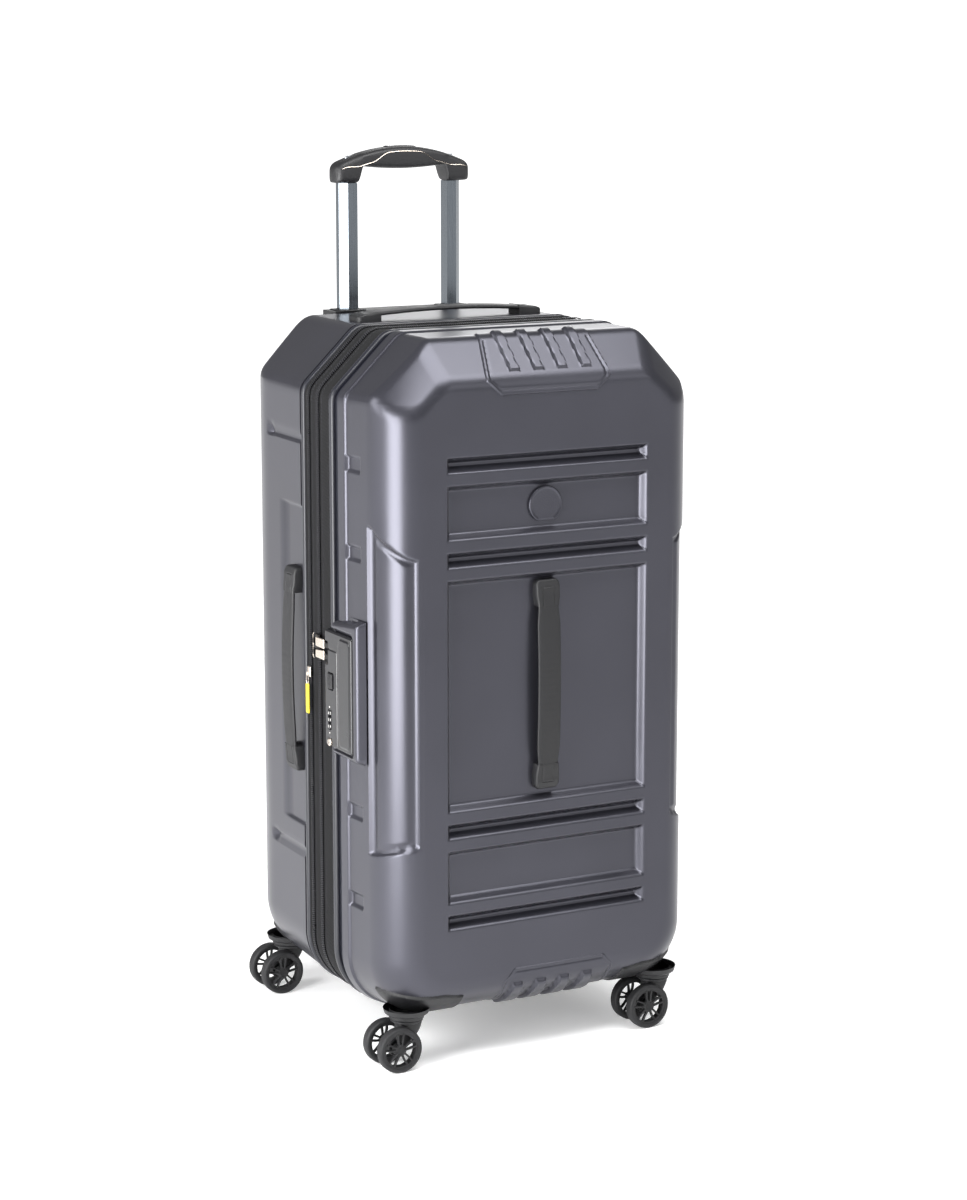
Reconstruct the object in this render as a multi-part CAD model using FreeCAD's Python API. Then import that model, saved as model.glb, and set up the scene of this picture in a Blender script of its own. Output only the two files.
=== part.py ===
"""Expandable hard travel trunk on four twin-wheel casters, with a zipped lid and a telescopic handle.

Sizes are in millimetres. While the pieces are made, x runs across the case from its middle, y runs back from the
front face, and z runs up from the floor. At the end everything moves so that the origin is at the bottom centre
of the box around the whole case: +X to the case's right seen from the front, +Y to its back, +Z up.
"""
import FreeCAD
import Part
import math
import os

# Overall sizes
width = 398.0                 # across the rims of the shells
height = 800.0                # floor to the top of the shells
depth = 378.0                 # front face to back face
wheel_radius = 25.5
wheel_gap = 4.0               # wheel top to the underside of the caster housing
neck_drop = 10.0              # how far that housing hangs below the rims
swivel_low = 2 * wheel_radius + wheel_gap
ground_gap = swivel_low - neck_drop   # floor to the lowest line of the rims

# Shells
wall = 3.0
front_rim = 116.0             # front face to the front shell's rim
lid_tape = 47.0               # front shell's rim to the middle of the main zip
band_width = 24.0             # middle of the main zip to the middle of the expansion zip
back_tape = 19.0              # middle of the expansion zip to the back shell's rim
main_zip = front_rim + lid_tape
expansion_zip = main_zip + band_width
back_rim = expansion_zip + back_tape
rim_strip = 20.0              # raised strip behind the front shell's rim
strip_step = 2.0              # how far that strip stands proud
top_chamfer_x = 66.5          # the cut across each top corner
top_chamfer_z = 65.0
bottom_radius = 70.0          # round of each bottom corner, seen from the front
face_inset = 9.0              # each side leans in by this much towards the face
face_lift = 13.0              # the underside rises by this much towards the face
edge_radius = 36.0            # round between face and sides
bevel_height = 46.5           # sloping facet above the face
bevel_depth = 40.0
corner_facet_x = 33.0         # the face's own corner cut
corner_facet_z = 28.5
face_margin = 41.0            # side of the case to the edge of the flat face
face_half = width / 2 - face_margin
guard_depth = 4.5             # recess of the long corner panels
guard_low = 235.0
guard_high = 602.0
guard_width = 42.0

# Front face pattern, from bottom to top: heights of recesses, and the ribs between them
panel_margin = 74.5           # side of the case to the pressed panels
panel_half = width / 2 - panel_margin
panel_low = 156.0
rib = 11.5
slot = 18.5
label_recess = 60.5
handle_recess = 256.0
recess_depth = 11.0
slot_depth = 11.0

# Lining and zip band
lining_gap = 11.5             # between a shell and its lining
lining_skin = 1.2
trim_depth = 8.0
trim_thickness = 6.0
tape_inset = 2.5
tape_thickness = 2.0
chain_width = 3.0             # each half of a zip's chain
chain_proud = 1.5
zip_gap = 0.3                 # between the two halves of a chain
frame_thickness = 3.5
hinge_low = 140.0
hinge_high = 705.0
hinge_skin = 1.2

# Casters
caster_from_side = 41.0
caster_x = width / 2 - caster_from_side
caster_inset = 34.5           # face to swivel axis
wheel_width = 12.0
wheel_offset = 17.3           # middle of the caster to the middle of each wheel
trail = 17.4
axle_radius = 3.0
pin_radius = 4.0
running_gap = 0.05
swivel_radius = 19.5
neck_height = 13.0
pocket_z = swivel_low + neck_height   # roof of the pocket that each caster sits in
screw_radius = 3.5
screw_head = 2.2
spokes = 5
spoke_window = 4.6            # radius of each opening in a wheel
pocket_x = 56.0               # pocket from the swivel axis towards the middle
pocket_y = 54.0               # pocket from the swivel axis towards the rim
cover_height = 20.0
cover_skin = 2.0
boss_radius = 12.0
boss_height = 10.0
boss_top = pocket_z + boss_height
screw_places = ((20, -10), (22, 28), (0, 30), (42, 8))   # from the swivel axis, inwards and back
clear = 0.3

# Carry handles
handle_length = 234.0
handle_width = 29.0
handle_block = 42.0
block_height = 11.0
grip_height = 16.0
grip_thickness = 5.0
front_handle_z = 418.0
side_handle_z = 414.0
side_handle_y = back_rim + 22.0
top_handle_y = back_rim + 34.0

# Telescopic handle
tube_x = 68.0
tube_from_back = 22.0         # back face to the middle of the tubes
tube_width = 20.0
tube_depth = 16.0
tube_corner = 8.0
tube_wall = 1.2
tube_play = 0.4
stage_shown = 146.0           # how much of the inner tube shows above the shells
stage_bottom = 120.0
inner_overlap_low = 270.0
grip_half = 86.0
grip_depth = 30.0
grip_rise = 21.0
grip_crown = 41.0             # foot of the sockets to the top of the bowed bar
grip_under = 15.0             # foot of the sockets to the middle of the bar's underside
button_length = 40.0
button_width = 14.0
rod_radius = 2.0

# Lock
lock_low = 338.0
lock_high = 496.0
lock_over_rim = 18.0          # how far the lock reaches back past the front shell's rim
lock_length = 82.0
lock_border = 12.0            # width of its frame in front of the body
lock_border_low = 8.0
lock_border_high = 18.0
lock_back = front_rim + lock_over_rim
lock_front = lock_back - lock_length
lock_proud = 8.5
dial_radius = 3.7
dial_height = 5.0
dial_pitch = 7.5
dial_low = 370.0
key_radius = 4.5
key_z = 352.0
dial_y = lock_back - 13.0     # front face to the number wheels and the key
lock_button_low = 412.0
lock_button_high = 430.0
lock_button_front = lock_back - 22.0
lock_button_back = lock_back - 10.0

# Zip pulls
pull_length = 34.0
pull_height = 10.0
pull_thickness = 2.0
pull_z = [457.5, 445.0]
tag_length = 33.0
tag_width = 7.0
expansion_slider_z = 418.0

# Guards and badge
guard_rib_width = 13.0
guard_rib_pitch = 29.5
guard_bump_width = 20.0
guard_bump_pitch = 30.0
badge_radius = 20.5
badge_proud = 4.0
badge_flat = 17.0             # middle of the badge to its flat foot

# Inside
pocket_margin = 59.0          # side of the case to the lid pocket
pocket_half = width / 2 - pocket_margin
pocket_low = 180.0
pocket_high = 520.0
strap_width = 24.0
strap_reach = 190.0           # how far up and down the straps spread at their ends
buckle_half = 28.0
buckle_half_height = 22.0

nodes = {}
Vec = FreeCAD.Vector


def box(x0, x1, y0, y1, z0, z1):
    return Part.makeBox(x1 - x0, y1 - y0, z1 - z0, Vec(x0, y0, z0))


def rod(start, direction, radius, length):
    return Part.makeCylinder(radius, length, start, direction)


def prism(points, extrude):
    """A polygon's solid: the points closed into a face and carried along a vector."""
    face = Part.Face(Part.makePolygon(points + [points[0]]))
    return face.extrude(extrude)


def mirror_x(shape):
    return shape.mirror(Vec(0, 0, 0), Vec(1, 0, 0))


def mirror_y(shape):
    """Front to back about the middle of the depth."""
    return shape.mirror(Vec(0, depth / 2, 0), Vec(0, 1, 0))


def both_sides(shape):
    return Part.makeCompound([shape, mirror_x(shape)])


def half_space_cut(solid, point, normal):
    """Takes away what lies beyond a plane."""
    size = 3 * height
    tool = Part.makeBox(size, size, size, Vec(-size / 2, -size / 2, 0))
    tool.Placement = FreeCAD.Placement(point, FreeCAD.Rotation(Vec(0, 0, 1), normal))
    return solid.cut(tool)


def outline(y, half, bottom, radius, inset, chamfered):
    """The shells' outline at one depth: two top cuts, upright sides and two round bottom corners."""
    slope = math.hypot(top_chamfer_x, top_chamfer_z)
    cut_x = top_chamfer_x - inset * (1 + (top_chamfer_x - slope) / top_chamfer_z)
    cut_z = top_chamfer_z - inset * (1 + (top_chamfer_z - slope) / top_chamfer_x)
    half = half - inset
    top = height - inset
    bottom = bottom + inset
    radius = radius - inset
    bulge = radius * (1 - math.sqrt(0.5))
    shoulder = top - cut_z
    if not chamfered:
        shoulder = top + 2 * top_chamfer_z
    points = [Vec(half, y, bottom + radius), Vec(half, y, shoulder)]
    if chamfered:
        points.append(Vec(half - cut_x, y, top))
        points.append(Vec(cut_x - half, y, top))
    points.append(Vec(-half, y, shoulder))
    points.append(Vec(-half, y, bottom + radius))
    edges = [Part.LineSegment(a, b).toShape() for a, b in zip(points, points[1:])]
    left = Part.Arc(points[-1], Vec(bulge - half, y, bottom + bulge), Vec(radius - half, y, bottom))
    right = Part.Arc(Vec(half - radius, y, bottom), Vec(half - bulge, y, bottom + bulge), points[0])
    floor = Part.LineSegment(Vec(radius - half, y, bottom), Vec(half - radius, y, bottom))
    return Part.Wire(edges + [left.toShape(), floor.toShape(), right.toShape()])


def rim_prism(y0, y1, inset):
    """The rims' full outline carried from one depth to another."""
    wire = outline(y0, width / 2, ground_gap, bottom_radius, inset, True)
    return Part.Face(wire).extrude(Vec(0, y1 - y0, 0))


def ring(y0, y1, inset, thickness):
    return rim_prism(y0, y1, inset).cut(rim_prism(y0 - 1, y1 + 1, inset + thickness))


def facets(inset):
    """The sloping facets above the face: a point and an outward normal for each."""
    top = Vec(0, -bevel_height, bevel_depth)
    top.normalize()
    low = Vec(face_half, 0, height - bevel_height - corner_facet_z)
    high = Vec(face_half - corner_facet_x, 0, height - bevel_height)
    back = Vec(face_half - corner_facet_x + 14.0, bevel_depth, height)
    side = (low - high).cross(back - high)
    side.normalize()
    if side.z < 0:
        side = side * -1
    other = Vec(-side.x, side.y, side.z)
    mirrored = Vec(-high.x, high.y, high.z)
    return [(Vec(0, 0, height - bevel_height) - top * inset, top),
            (high - side * inset, side),
            (mirrored - other * inset, other)]


def shell_block(rim, inset, overrun=0.0):
    """The closed outer form of a shell, face at y = 0, made smaller all round by the inset."""
    far = rim + overrun
    lean = face_inset / rim
    lift = face_lift / rim
    half = width / 2 - strip_step
    bottom = ground_gap + strip_step
    face = outline(inset, half - face_inset + lean * inset, bottom + face_lift - lift * inset,
                   bottom_radius - strip_step, inset, False)
    back = outline(far, half + lean * overrun, bottom - lift * overrun,
                   bottom_radius - strip_step, inset, False)
    block = Part.makeLoft([face, back], True, True)
    rounded = [e for e in block.Edges
               if abs(e.BoundBox.YMax - inset) < 0.01 and e.BoundBox.ZMax < height * 1.5
               and e.BoundBox.ZMin < height - top_chamfer_z]
    block = block.makeFillet(edge_radius - inset, rounded)
    block = block.common(rim_prism(inset - 1, far + 1, inset + strip_step * 0.5))
    for point, normal in facets(inset):
        block = half_space_cut(block, point, normal)
    return block


def guard_band(rim, inset, grow):
    """The strip of skin that the two long corner recesses take away."""
    skin = shell_block(rim, inset).cut(shell_block(rim, inset + guard_depth))
    edge = width / 2 + 1
    reach = edge_radius + 4 + grow
    window = box(edge - guard_width - grow, edge, -1, reach, guard_low - grow, guard_high + grow)
    return [skin.common(window), skin.common(mirror_x(window))]


def panel_recesses(grow):
    """The bars and recesses of the front face, each as (bottom, top, depth)."""
    rows = [slot, label_recess, slot, handle_recess, slot, label_recess, slot]
    z = panel_low
    tools = []
    for row in rows:
        deep = slot_depth if row == slot else recess_depth
        tools.append(box(-panel_half - grow, panel_half + grow, -1, deep + grow, z - grow, z + row + grow))
        z += row + rib
    return tools


def handle_recess_low():
    return panel_low + slot + label_recess + slot + 3 * rib


def label_recess_low():
    return handle_recess_low() + handle_recess + slot + 2 * rib


def caster_pocket(side, grow):
    """The room above one caster, open downwards and outwards."""
    inner = side * (caster_x - pocket_x) - side * grow
    outer = side * (width / 2 + 5)
    return box(min(inner, outer), max(inner, outer), -5, caster_inset + pocket_y + grow, 0, pocket_z + grow)


def hollow_shell(rim):
    """One shell with corner recesses and caster pockets, its face at y = 0."""
    outer = shell_block(rim, 0)
    hollow = shell_block(rim, wall, 2.0)
    for band in guard_band(rim, 0, 0):
        outer = outer.cut(band)
    for band in guard_band(rim, wall, wall):
        hollow = hollow.cut(band)
    for side in (-1, 1):
        outer = outer.cut(caster_pocket(side, 0))
        hollow = hollow.cut(caster_pocket(side, wall))
    return outer, hollow


def caster_bores(shell):
    for side in (-1, 1):
        shell = shell.cut(rod(Vec(side * caster_x, caster_inset, pocket_z - 5), Vec(0, 0, 1), boss_radius, 20))
    return shell


def front_shell():
    outer, hollow = hollow_shell(front_rim)
    strip = rim_prism(front_rim - rim_strip, front_rim, 0)
    strip_hollow = rim_prism(front_rim - rim_strip + wall, front_rim + 1, wall)
    for tool in panel_recesses(0):
        outer = outer.cut(tool)
    for tool in panel_recesses(wall):
        hollow = hollow.cut(tool)
    shell = outer.fuse(strip).cut(hollow).cut(strip_hollow)
    return caster_bores(shell).removeSplitter()


def back_shell():
    outer, hollow = hollow_shell(depth - back_rim)
    shell = caster_bores(outer.cut(hollow))
    shell = mirror_y(shell)
    return shell.cut(bezel_block(0)).cut(handle_bores())


def lining(rim, face_gap):
    """A fabric cup inside a shell with a lip that meets the shell's rim, face at y = 0."""
    inset = wall + lining_gap
    floor = box(-width, width, face_gap, 2 * depth, 0, 2 * height)
    room = box(-width, width, face_gap + lining_skin, 2 * depth, 0, 2 * height)
    cup = shell_block(rim, inset).common(floor)
    inside = shell_block(rim, inset + lining_skin, 2.0).common(room)
    for side in (-1, 1):
        cup = cup.cut(caster_pocket(side, lining_gap))
        inside = inside.cut(caster_pocket(side, lining_gap + lining_skin))
    lip = shell_block(rim, wall + clear).common(box(-width, width, rim - 4, rim - 2, 0, 2 * height))
    return cup.fuse(lip).cut(inside).common(box(-width, width, 0, rim - 2, 0, 2 * height))


def tube_profile(grow, z0, z1):
    """A rail's closed section: a rectangle with its outer front corner cut away."""
    x0 = tube_x - tube_width / 2 - grow
    x1 = tube_x + tube_width / 2 + grow
    y0 = depth - tube_from_back - tube_depth / 2 - grow
    y1 = depth - tube_from_back + tube_depth / 2 + grow
    points = [Vec(x0, y0, z0), Vec(x1 - tube_corner, y0, z0), Vec(x1, y0 + tube_corner, z0),
              Vec(x1, y1, z0), Vec(x0, y1, z0)]
    return prism(points, Vec(0, 0, z1 - z0))


def tube(grow, z0, z1):
    return tube_profile(grow, z0, z1).cut(tube_profile(grow - tube_wall, z0 - 1, z1 + 1))


def bezel_block(grow):
    """The block that fills the back top facet round the rails."""
    half = tube_x + tube_width / 2 + 12 + grow
    y0 = depth - bevel_depth + 4 - grow
    return box(-half, half, y0, depth - 2, height - bevel_height - 4 - grow, height)


def trolley():
    step = tube_wall + tube_play
    rail_low = stage_bottom - 10
    rail = tube(2 * step, rail_low, height - 4)
    nodes["trolley_rails"] = both_sides(rail)
    base = box(-tube_x - 20, tube_x + 20, depth - tube_from_back - 14, depth - wall - 2,
               rail_low - 10, rail_low)
    nodes["trolley_base"] = base
    outer = bezel_block(0)
    for side in (1, -1):
        hole = tube_profile(2 * step + clear, 0, height + 50)
        outer = outer.cut(hole if side == 1 else mirror_x(hole))
    nodes["trolley_bezel"] = outer
    nodes["trolley_stage_1"] = both_sides(tube(step, stage_bottom, height - 1))
    grip_low = height + stage_shown
    nodes["trolley_stage_2"] = both_sides(tube(0, inner_overlap_low, grip_low))
    grip_piece(grip_low)
    rods(grip_low)


def grip_piece(grip_low):
    """The bowed hand grip: an arched bar over two sockets, with a seat for the push button."""
    y = depth - tube_from_back
    y0 = y - grip_depth / 2
    top = grip_low + grip_rise
    crown = grip_low + grip_crown
    under = grip_low + grip_under
    inner = tube_x - tube_width / 2 - 2
    bar = arch_prism(grip_half, top, crown, y0, grip_depth)
    hole_top = grip_low + 19.0
    points = [Vec(-inner, y0 - 1, grip_low - 20), Vec(-inner, y0 - 1, hole_top - 8),
              Vec(8 - inner, y0 - 1, hole_top), Vec(0, y0 - 1, under), Vec(inner - 8, y0 - 1, hole_top),
              Vec(inner, y0 - 1, hole_top - 8), Vec(inner, y0 - 1, grip_low - 20)]
    bar = bar.cut(prism(points, Vec(0, grip_depth + 2, 0)))
    bar = bar.common(box(-grip_half, grip_half, y0, y0 + grip_depth, grip_low, crown + 1))
    seat = box(-button_length / 2 - clear, button_length / 2 + clear, y - button_width / 2 - clear,
               y + button_width / 2 + clear, crown - 9, crown + 5)
    channel = box(-tube_x - rod_radius - 1, tube_x + rod_radius + 1, y - 3, y + 3, grip_low + 22, crown - 9)
    bar = bar.cut(seat).cut(channel)
    for side in (-1, 1):
        hole = rod(Vec(side * tube_x, y, grip_low - 1), Vec(0, 0, 1), rod_radius + 1, 25)
        bar = bar.cut(hole)
    nodes["trolley_grip"] = bar
    cap = arch_prism(grip_half, top, crown, y0, grip_depth)
    cap = cap.common(box(-button_length / 2, button_length / 2, y - button_width / 2, y + button_width / 2,
                         crown - 5.5, crown + 1))
    cap.translate(Vec(0, 0, 1.0))
    nodes["trolley_button"] = cap


def arch_prism(half, low, high, y0, deep):
    """A block whose top is an arc from low, at its ends, to high, in its middle."""
    base = low - 30
    arc = Part.Arc(Vec(-half, y0, low), Vec(0, y0, high), Vec(half, y0, low)).toShape()
    sides = Part.makePolygon([Vec(half, y0, low), Vec(half, y0, base), Vec(-half, y0, base), Vec(-half, y0, low)])
    return Part.Face(Part.Wire([arc] + sides.Edges)).extrude(Vec(0, deep, 0))


def rods(grip_low):
    """The crossbar under the button and the two release rods that run down inside the tubes."""
    y = depth - tube_from_back
    crown = grip_low + grip_crown
    bar_z = crown - 14.0
    bar = box(-tube_x, tube_x, y - 2, y + 2, bar_z, bar_z + 4)
    neck = box(-3, 3, y - 2, y + 2, bar_z + 4, crown - 5.2)
    shape = bar.fuse(neck)
    for side in (-1, 1):
        shape = shape.fuse(rod(Vec(side * tube_x, y, inner_overlap_low + 8), Vec(0, 0, 1), rod_radius,
                               bar_z - inner_overlap_low - 6))
    nodes["release_rods"] = shape


def handle_shapes():
    """A carry handle lying along z, seat at x = 0 and outwards along +x: end blocks and bowed grip."""
    half = handle_length / 2
    wide = handle_width / 2
    ends = []
    for side in (-1, 1):
        z_tip = side * half
        z_in = side * (half - handle_block)
        points = [Vec(0, -wide, z_tip), Vec(block_height - 3, -wide, z_tip),
                  Vec(block_height, -wide, z_tip - side * 3), Vec(block_height + 1.5, -wide, z_in + side * 14),
                  Vec(block_height - 1, -wide, z_in + side * 14), Vec(0, -wide, z_in)]
        ends.append(prism(points, Vec(0, handle_width, 0)))
    reach = half - handle_block + 14 - clear
    outer = Part.Arc(Vec(block_height + 1.5, -wide, -reach), Vec(grip_height, -wide, 0),
                     Vec(block_height + 1.5, -wide, reach)).toShape()
    inner = Part.Arc(Vec(block_height + 1.5 - grip_thickness, -wide, reach),
                     Vec(grip_height - grip_thickness, -wide, 0),
                     Vec(block_height + 1.5 - grip_thickness, -wide, -reach)).toShape()
    low = Part.LineSegment(inner.Vertexes[-1].Point, outer.Vertexes[0].Point).toShape()
    high = Part.LineSegment(outer.Vertexes[-1].Point, inner.Vertexes[0].Point).toShape()
    loop = Part.Wire(Part.__sortEdges__([outer, inner, low, high]))
    grip = Part.Face(loop).extrude(Vec(0, handle_width, 0))
    blocks = Part.makeCompound(ends)
    return blocks.cut(grip), grip


def place(shape, position, outward, along):
    """Turns a handle so that its +x points outward and its +z along the given direction, then moves it."""
    across = along.cross(outward)
    matrix = FreeCAD.Matrix(outward.x, across.x, along.x, position.x,
                            outward.y, across.y, along.y, position.y,
                            outward.z, across.z, along.z, position.z,
                            0, 0, 0, 1)
    moved = shape.copy()
    moved.Placement = FreeCAD.Placement(matrix)
    return moved


def side_surface(y):
    """How far the left side of the back shell stands out at one depth."""
    rim = depth - back_rim
    return width / 2 - strip_step - face_inset * (y - back_rim) / rim


def handle_places():
    up = Vec(0, 0, 1)
    return {
        "front_handle": (Vec(0, recess_depth, front_handle_z), Vec(0, -1, 0), up),
        "side_handle": (Vec(-side_surface(side_handle_y) + 1.5, side_handle_y, side_handle_z), Vec(-1, 0, 0), up),
        "top_handle": (Vec(0, top_handle_y, height - 3.0), up, Vec(1, 0, 0)),
    }


def handle_bores():
    """Flat seats for the two carry handles on the back shell."""
    y = side_handle_y
    x = side_surface(y) - 1.5
    half = handle_length / 2 + 4
    wide = handle_width / 2 + 2
    side = box(-x - 10, -x, y - wide, y + wide, side_handle_z - half, side_handle_z + half)
    top = box(-half, half, top_handle_y - wide, top_handle_y + wide, height - 3.0, height + 10)
    return side.fuse(top)


def carry_handles():
    blocks, grip = handle_shapes()
    for name, (position, outward, along) in handle_places().items():
        nodes[name + "_ends"] = place(blocks, position, outward, along)
        nodes[name + "_grip"] = place(grip, position, outward, along)


def zip_band():
    """The fabric band between the shells: the lid's zip half, the middle band with two halves, the back half."""
    right = box(width / 2 - 12, width, 0, depth, hinge_low - 10, hinge_high + 10)
    half_gap = zip_gap / 2
    front_start = front_rim + trim_depth
    front = ring(front_start, main_zip - half_gap - chain_width, tape_inset, tape_thickness)
    front_chain = ring(main_zip - half_gap - chain_width, main_zip - half_gap, tape_inset - chain_proud,
                       tape_thickness + chain_proud).cut(right)
    nodes["front_zip_half"] = Part.makeCompound([front, front_chain])
    band_start = main_zip + half_gap
    band_end = expansion_zip - half_gap
    middle = ring(band_start + chain_width, band_end - chain_width, tape_inset, tape_thickness)
    main_chain = ring(band_start, band_start + chain_width, tape_inset - chain_proud,
                      tape_thickness + chain_proud).cut(right)
    expansion_chain = ring(band_end - chain_width, band_end, tape_inset - chain_proud,
                           tape_thickness + chain_proud)
    nodes["band_zip"] = Part.makeCompound([main_chain, middle, expansion_chain])
    back_start = expansion_zip + half_gap
    back_end = back_rim - trim_depth
    back_chain = ring(back_start, back_start + chain_width, tape_inset - chain_proud,
                      tape_thickness + chain_proud)
    back = ring(back_start + chain_width, back_end, tape_inset, tape_thickness)
    nodes["back_zip_half"] = Part.makeCompound([back_chain, back])
    nodes["front_rim_trim"] = ring(front_rim, front_start, tape_inset - 1, trim_thickness)
    nodes["back_rim_trim"] = ring(back_end, back_rim, tape_inset - 1, trim_thickness)
    frame_inset = tape_inset + tape_thickness
    nodes["band_frame"] = ring(band_start + 5, band_end - 4, frame_inset, frame_thickness)
    gusset_inset = frame_inset + frame_thickness + 2
    nodes["gusset"] = ring(band_end - 6, back_rim - 2, gusset_inset, lining_skin)
    x1 = width / 2 - tape_inset + 0.3 + hinge_skin
    nodes["hinge_tape"] = box(x1 - hinge_skin, x1, main_zip - 24, expansion_zip - 6, hinge_low, hinge_high)


def casters():
    """Forks with their axles, twin wheels, and the housings that hold the swivel pins."""
    for name, side, back in (("fl", -1, False), ("fr", 1, False), ("rl", -1, True), ("rr", 1, True)):
        y = depth - caster_inset if back else caster_inset
        x = side * caster_x
        nodes["caster_fork_" + name] = fork(x, y)
        for end, sign in (("a", -1), ("b", 1)):
            nodes["wheel_" + name + "_" + end] = wheel(x - trail, y + sign * wheel_offset)
    front = Part.makeCompound(caster_housings(front_rim))
    nodes["front_caster_housings"] = front
    nodes["rear_caster_housings"] = mirror_y(Part.makeCompound(caster_housings(depth - back_rim)))
    front_screws = Part.makeCompound(caster_screws())
    nodes["front_caster_screws"] = front_screws
    nodes["rear_caster_screws"] = mirror_y(Part.makeCompound(caster_screws()))


def fork(x, y):
    top = swivel_low - clear
    disc_low = 2 * wheel_radius + 0.6
    disc = rod(Vec(x, y, disc_low), Vec(0, 0, 1), swivel_radius - 1.5, top - disc_low)
    pin = rod(Vec(x, y, disc_low), Vec(0, 0, 1), pin_radius, boss_top - 4 - disc_low)
    half = wheel_offset - wheel_width / 2 - 0.6
    hub = 9.0
    axle_x = x - trail
    points = [Vec(x - 14, y - half, disc_low + 1), Vec(x + 14, y - half, disc_low + 1),
              Vec(x + 9, y - half, 2 * wheel_radius - 14), Vec(axle_x + hub, y - half, wheel_radius - 5),
              Vec(axle_x, y - half, wheel_radius - hub), Vec(axle_x - hub, y - half, wheel_radius),
              Vec(axle_x - hub, y - half, wheel_radius + 10)]
    web = prism(points, Vec(0, 2 * half, 0))
    axle = rod(Vec(axle_x, y - wheel_offset - wheel_width / 2 + 1, wheel_radius), Vec(0, 1, 0), axle_radius,
               2 * wheel_offset + wheel_width - 2)
    return Part.makeCompound([disc.fuse(pin).fuse(web).cut(axle), axle])


def wheel(x, y):
    """A tyre and a spoked hub as two solids on one axle."""
    y0 = y - wheel_width / 2
    along = Vec(0, 1, 0)
    rim_radius = wheel_radius - 4.5
    tyre = rod(Vec(x, y0, wheel_radius), along, wheel_radius, wheel_width)
    tyre = tyre.cut(rod(Vec(x, y0 - 1, wheel_radius), along, rim_radius, wheel_width + 2))
    rounded = [e for e in tyre.Edges if e.BoundBox.XLength > 2 * wheel_radius - 1]
    tyre = tyre.makeFillet(2.0, rounded)
    hub = rod(Vec(x, y0 + 0.5, wheel_radius), along, rim_radius, wheel_width - 1)
    hub = hub.cut(rod(Vec(x, y0 - 1, wheel_radius), along, axle_radius + running_gap, wheel_width + 2))
    window = rod(Vec(x, y0 - 1, wheel_radius + 14.0), along, spoke_window, wheel_width + 2)
    for k in range(spokes):
        turned = window.copy()
        turned.rotate(Vec(x, y, wheel_radius), along, 360.0 / spokes * k + 18)
        hub = hub.cut(turned)
    return Part.makeCompound([tyre, hub])


def caster_housings(rim):
    """For the two corners of one shell: a cover under the corner, a swivel boss and a blind bore for the pin."""
    block = shell_block(rim, 0)
    skin = shell_block(rim, -cover_skin).cut(block)
    result = []
    for side in (-1, 1):
        x = side * caster_x
        inner = side * (caster_x - pocket_x + clear)
        outer = side * (width / 2 + 5)
        window = box(min(inner, outer), max(inner, outer), -5, caster_inset + pocket_y - clear,
                     pocket_z - 2, pocket_z + cover_height)
        cover = skin.common(window)
        floor = shell_block(rim, -cover_skin).common(window)
        floor = floor.common(box(-width, width, -5, depth, 0, pocket_z))
        neck = rod(Vec(x, caster_inset, swivel_low), Vec(0, 0, 1), swivel_radius, pocket_z - swivel_low)
        boss = rod(Vec(x, caster_inset, pocket_z), Vec(0, 0, 1), boss_radius - clear, boss_top - pocket_z)
        bore = rod(Vec(x, caster_inset, swivel_low - 1), Vec(0, 0, 1), pin_radius + running_gap,
                   boss_top - 2 - swivel_low)
        result.append(cover.fuse(floor).fuse(neck).fuse(boss).cut(bore))
    return result


def caster_screws():
    screws = []
    for side in (-1, 1):
        for dx, dy in screw_places:
            foot = Vec(side * (caster_x - dx), caster_inset + dy, pocket_z + wall)
            screws.append(rod(foot, Vec(0, 0, 1), screw_radius, screw_head))
    return screws


def trims():
    """The ribbed guards on the front shell's top and bottom edges, and the blank round badge."""
    block = shell_block(front_rim, 0)
    thick = shell_block(front_rim, -2.0)
    top_low = height - bevel_height - 15
    top = thick.cut(block).common(box(-66, 66, -5, bevel_depth + 8, top_low, height + 5))
    ribs = shell_block(front_rim, -6.0).cut(block)
    for k in range(4):
        x = -48 + guard_rib_pitch * k
        top = top.fuse(ribs.common(box(x, x + guard_rib_width, -5, bevel_depth + 2, height - bevel_height + 8, height + 4)))
    nodes["top_guard"] = top
    bottom_low = ground_gap + strip_step
    pad = thick.cut(block).common(box(-70, 70, -5, 70, bottom_low, bottom_low + 56))
    bumps = shell_block(front_rim, -4.5).cut(block)
    for k in range(4):
        x = -57 + guard_bump_pitch * k
        pad = pad.fuse(bumps.common(box(x, x + guard_bump_width, -5, 60, bottom_low, bottom_low + 34)))
    nodes["bottom_guard"] = pad
    middle = label_recess_low() + label_recess / 2
    badge = rod(Vec(0, recess_depth, middle), Vec(0, -1, 0), badge_radius, badge_proud)
    nodes["badge"] = badge.common(box(-width, width, -depth, depth, middle - badge_flat, height))


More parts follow.
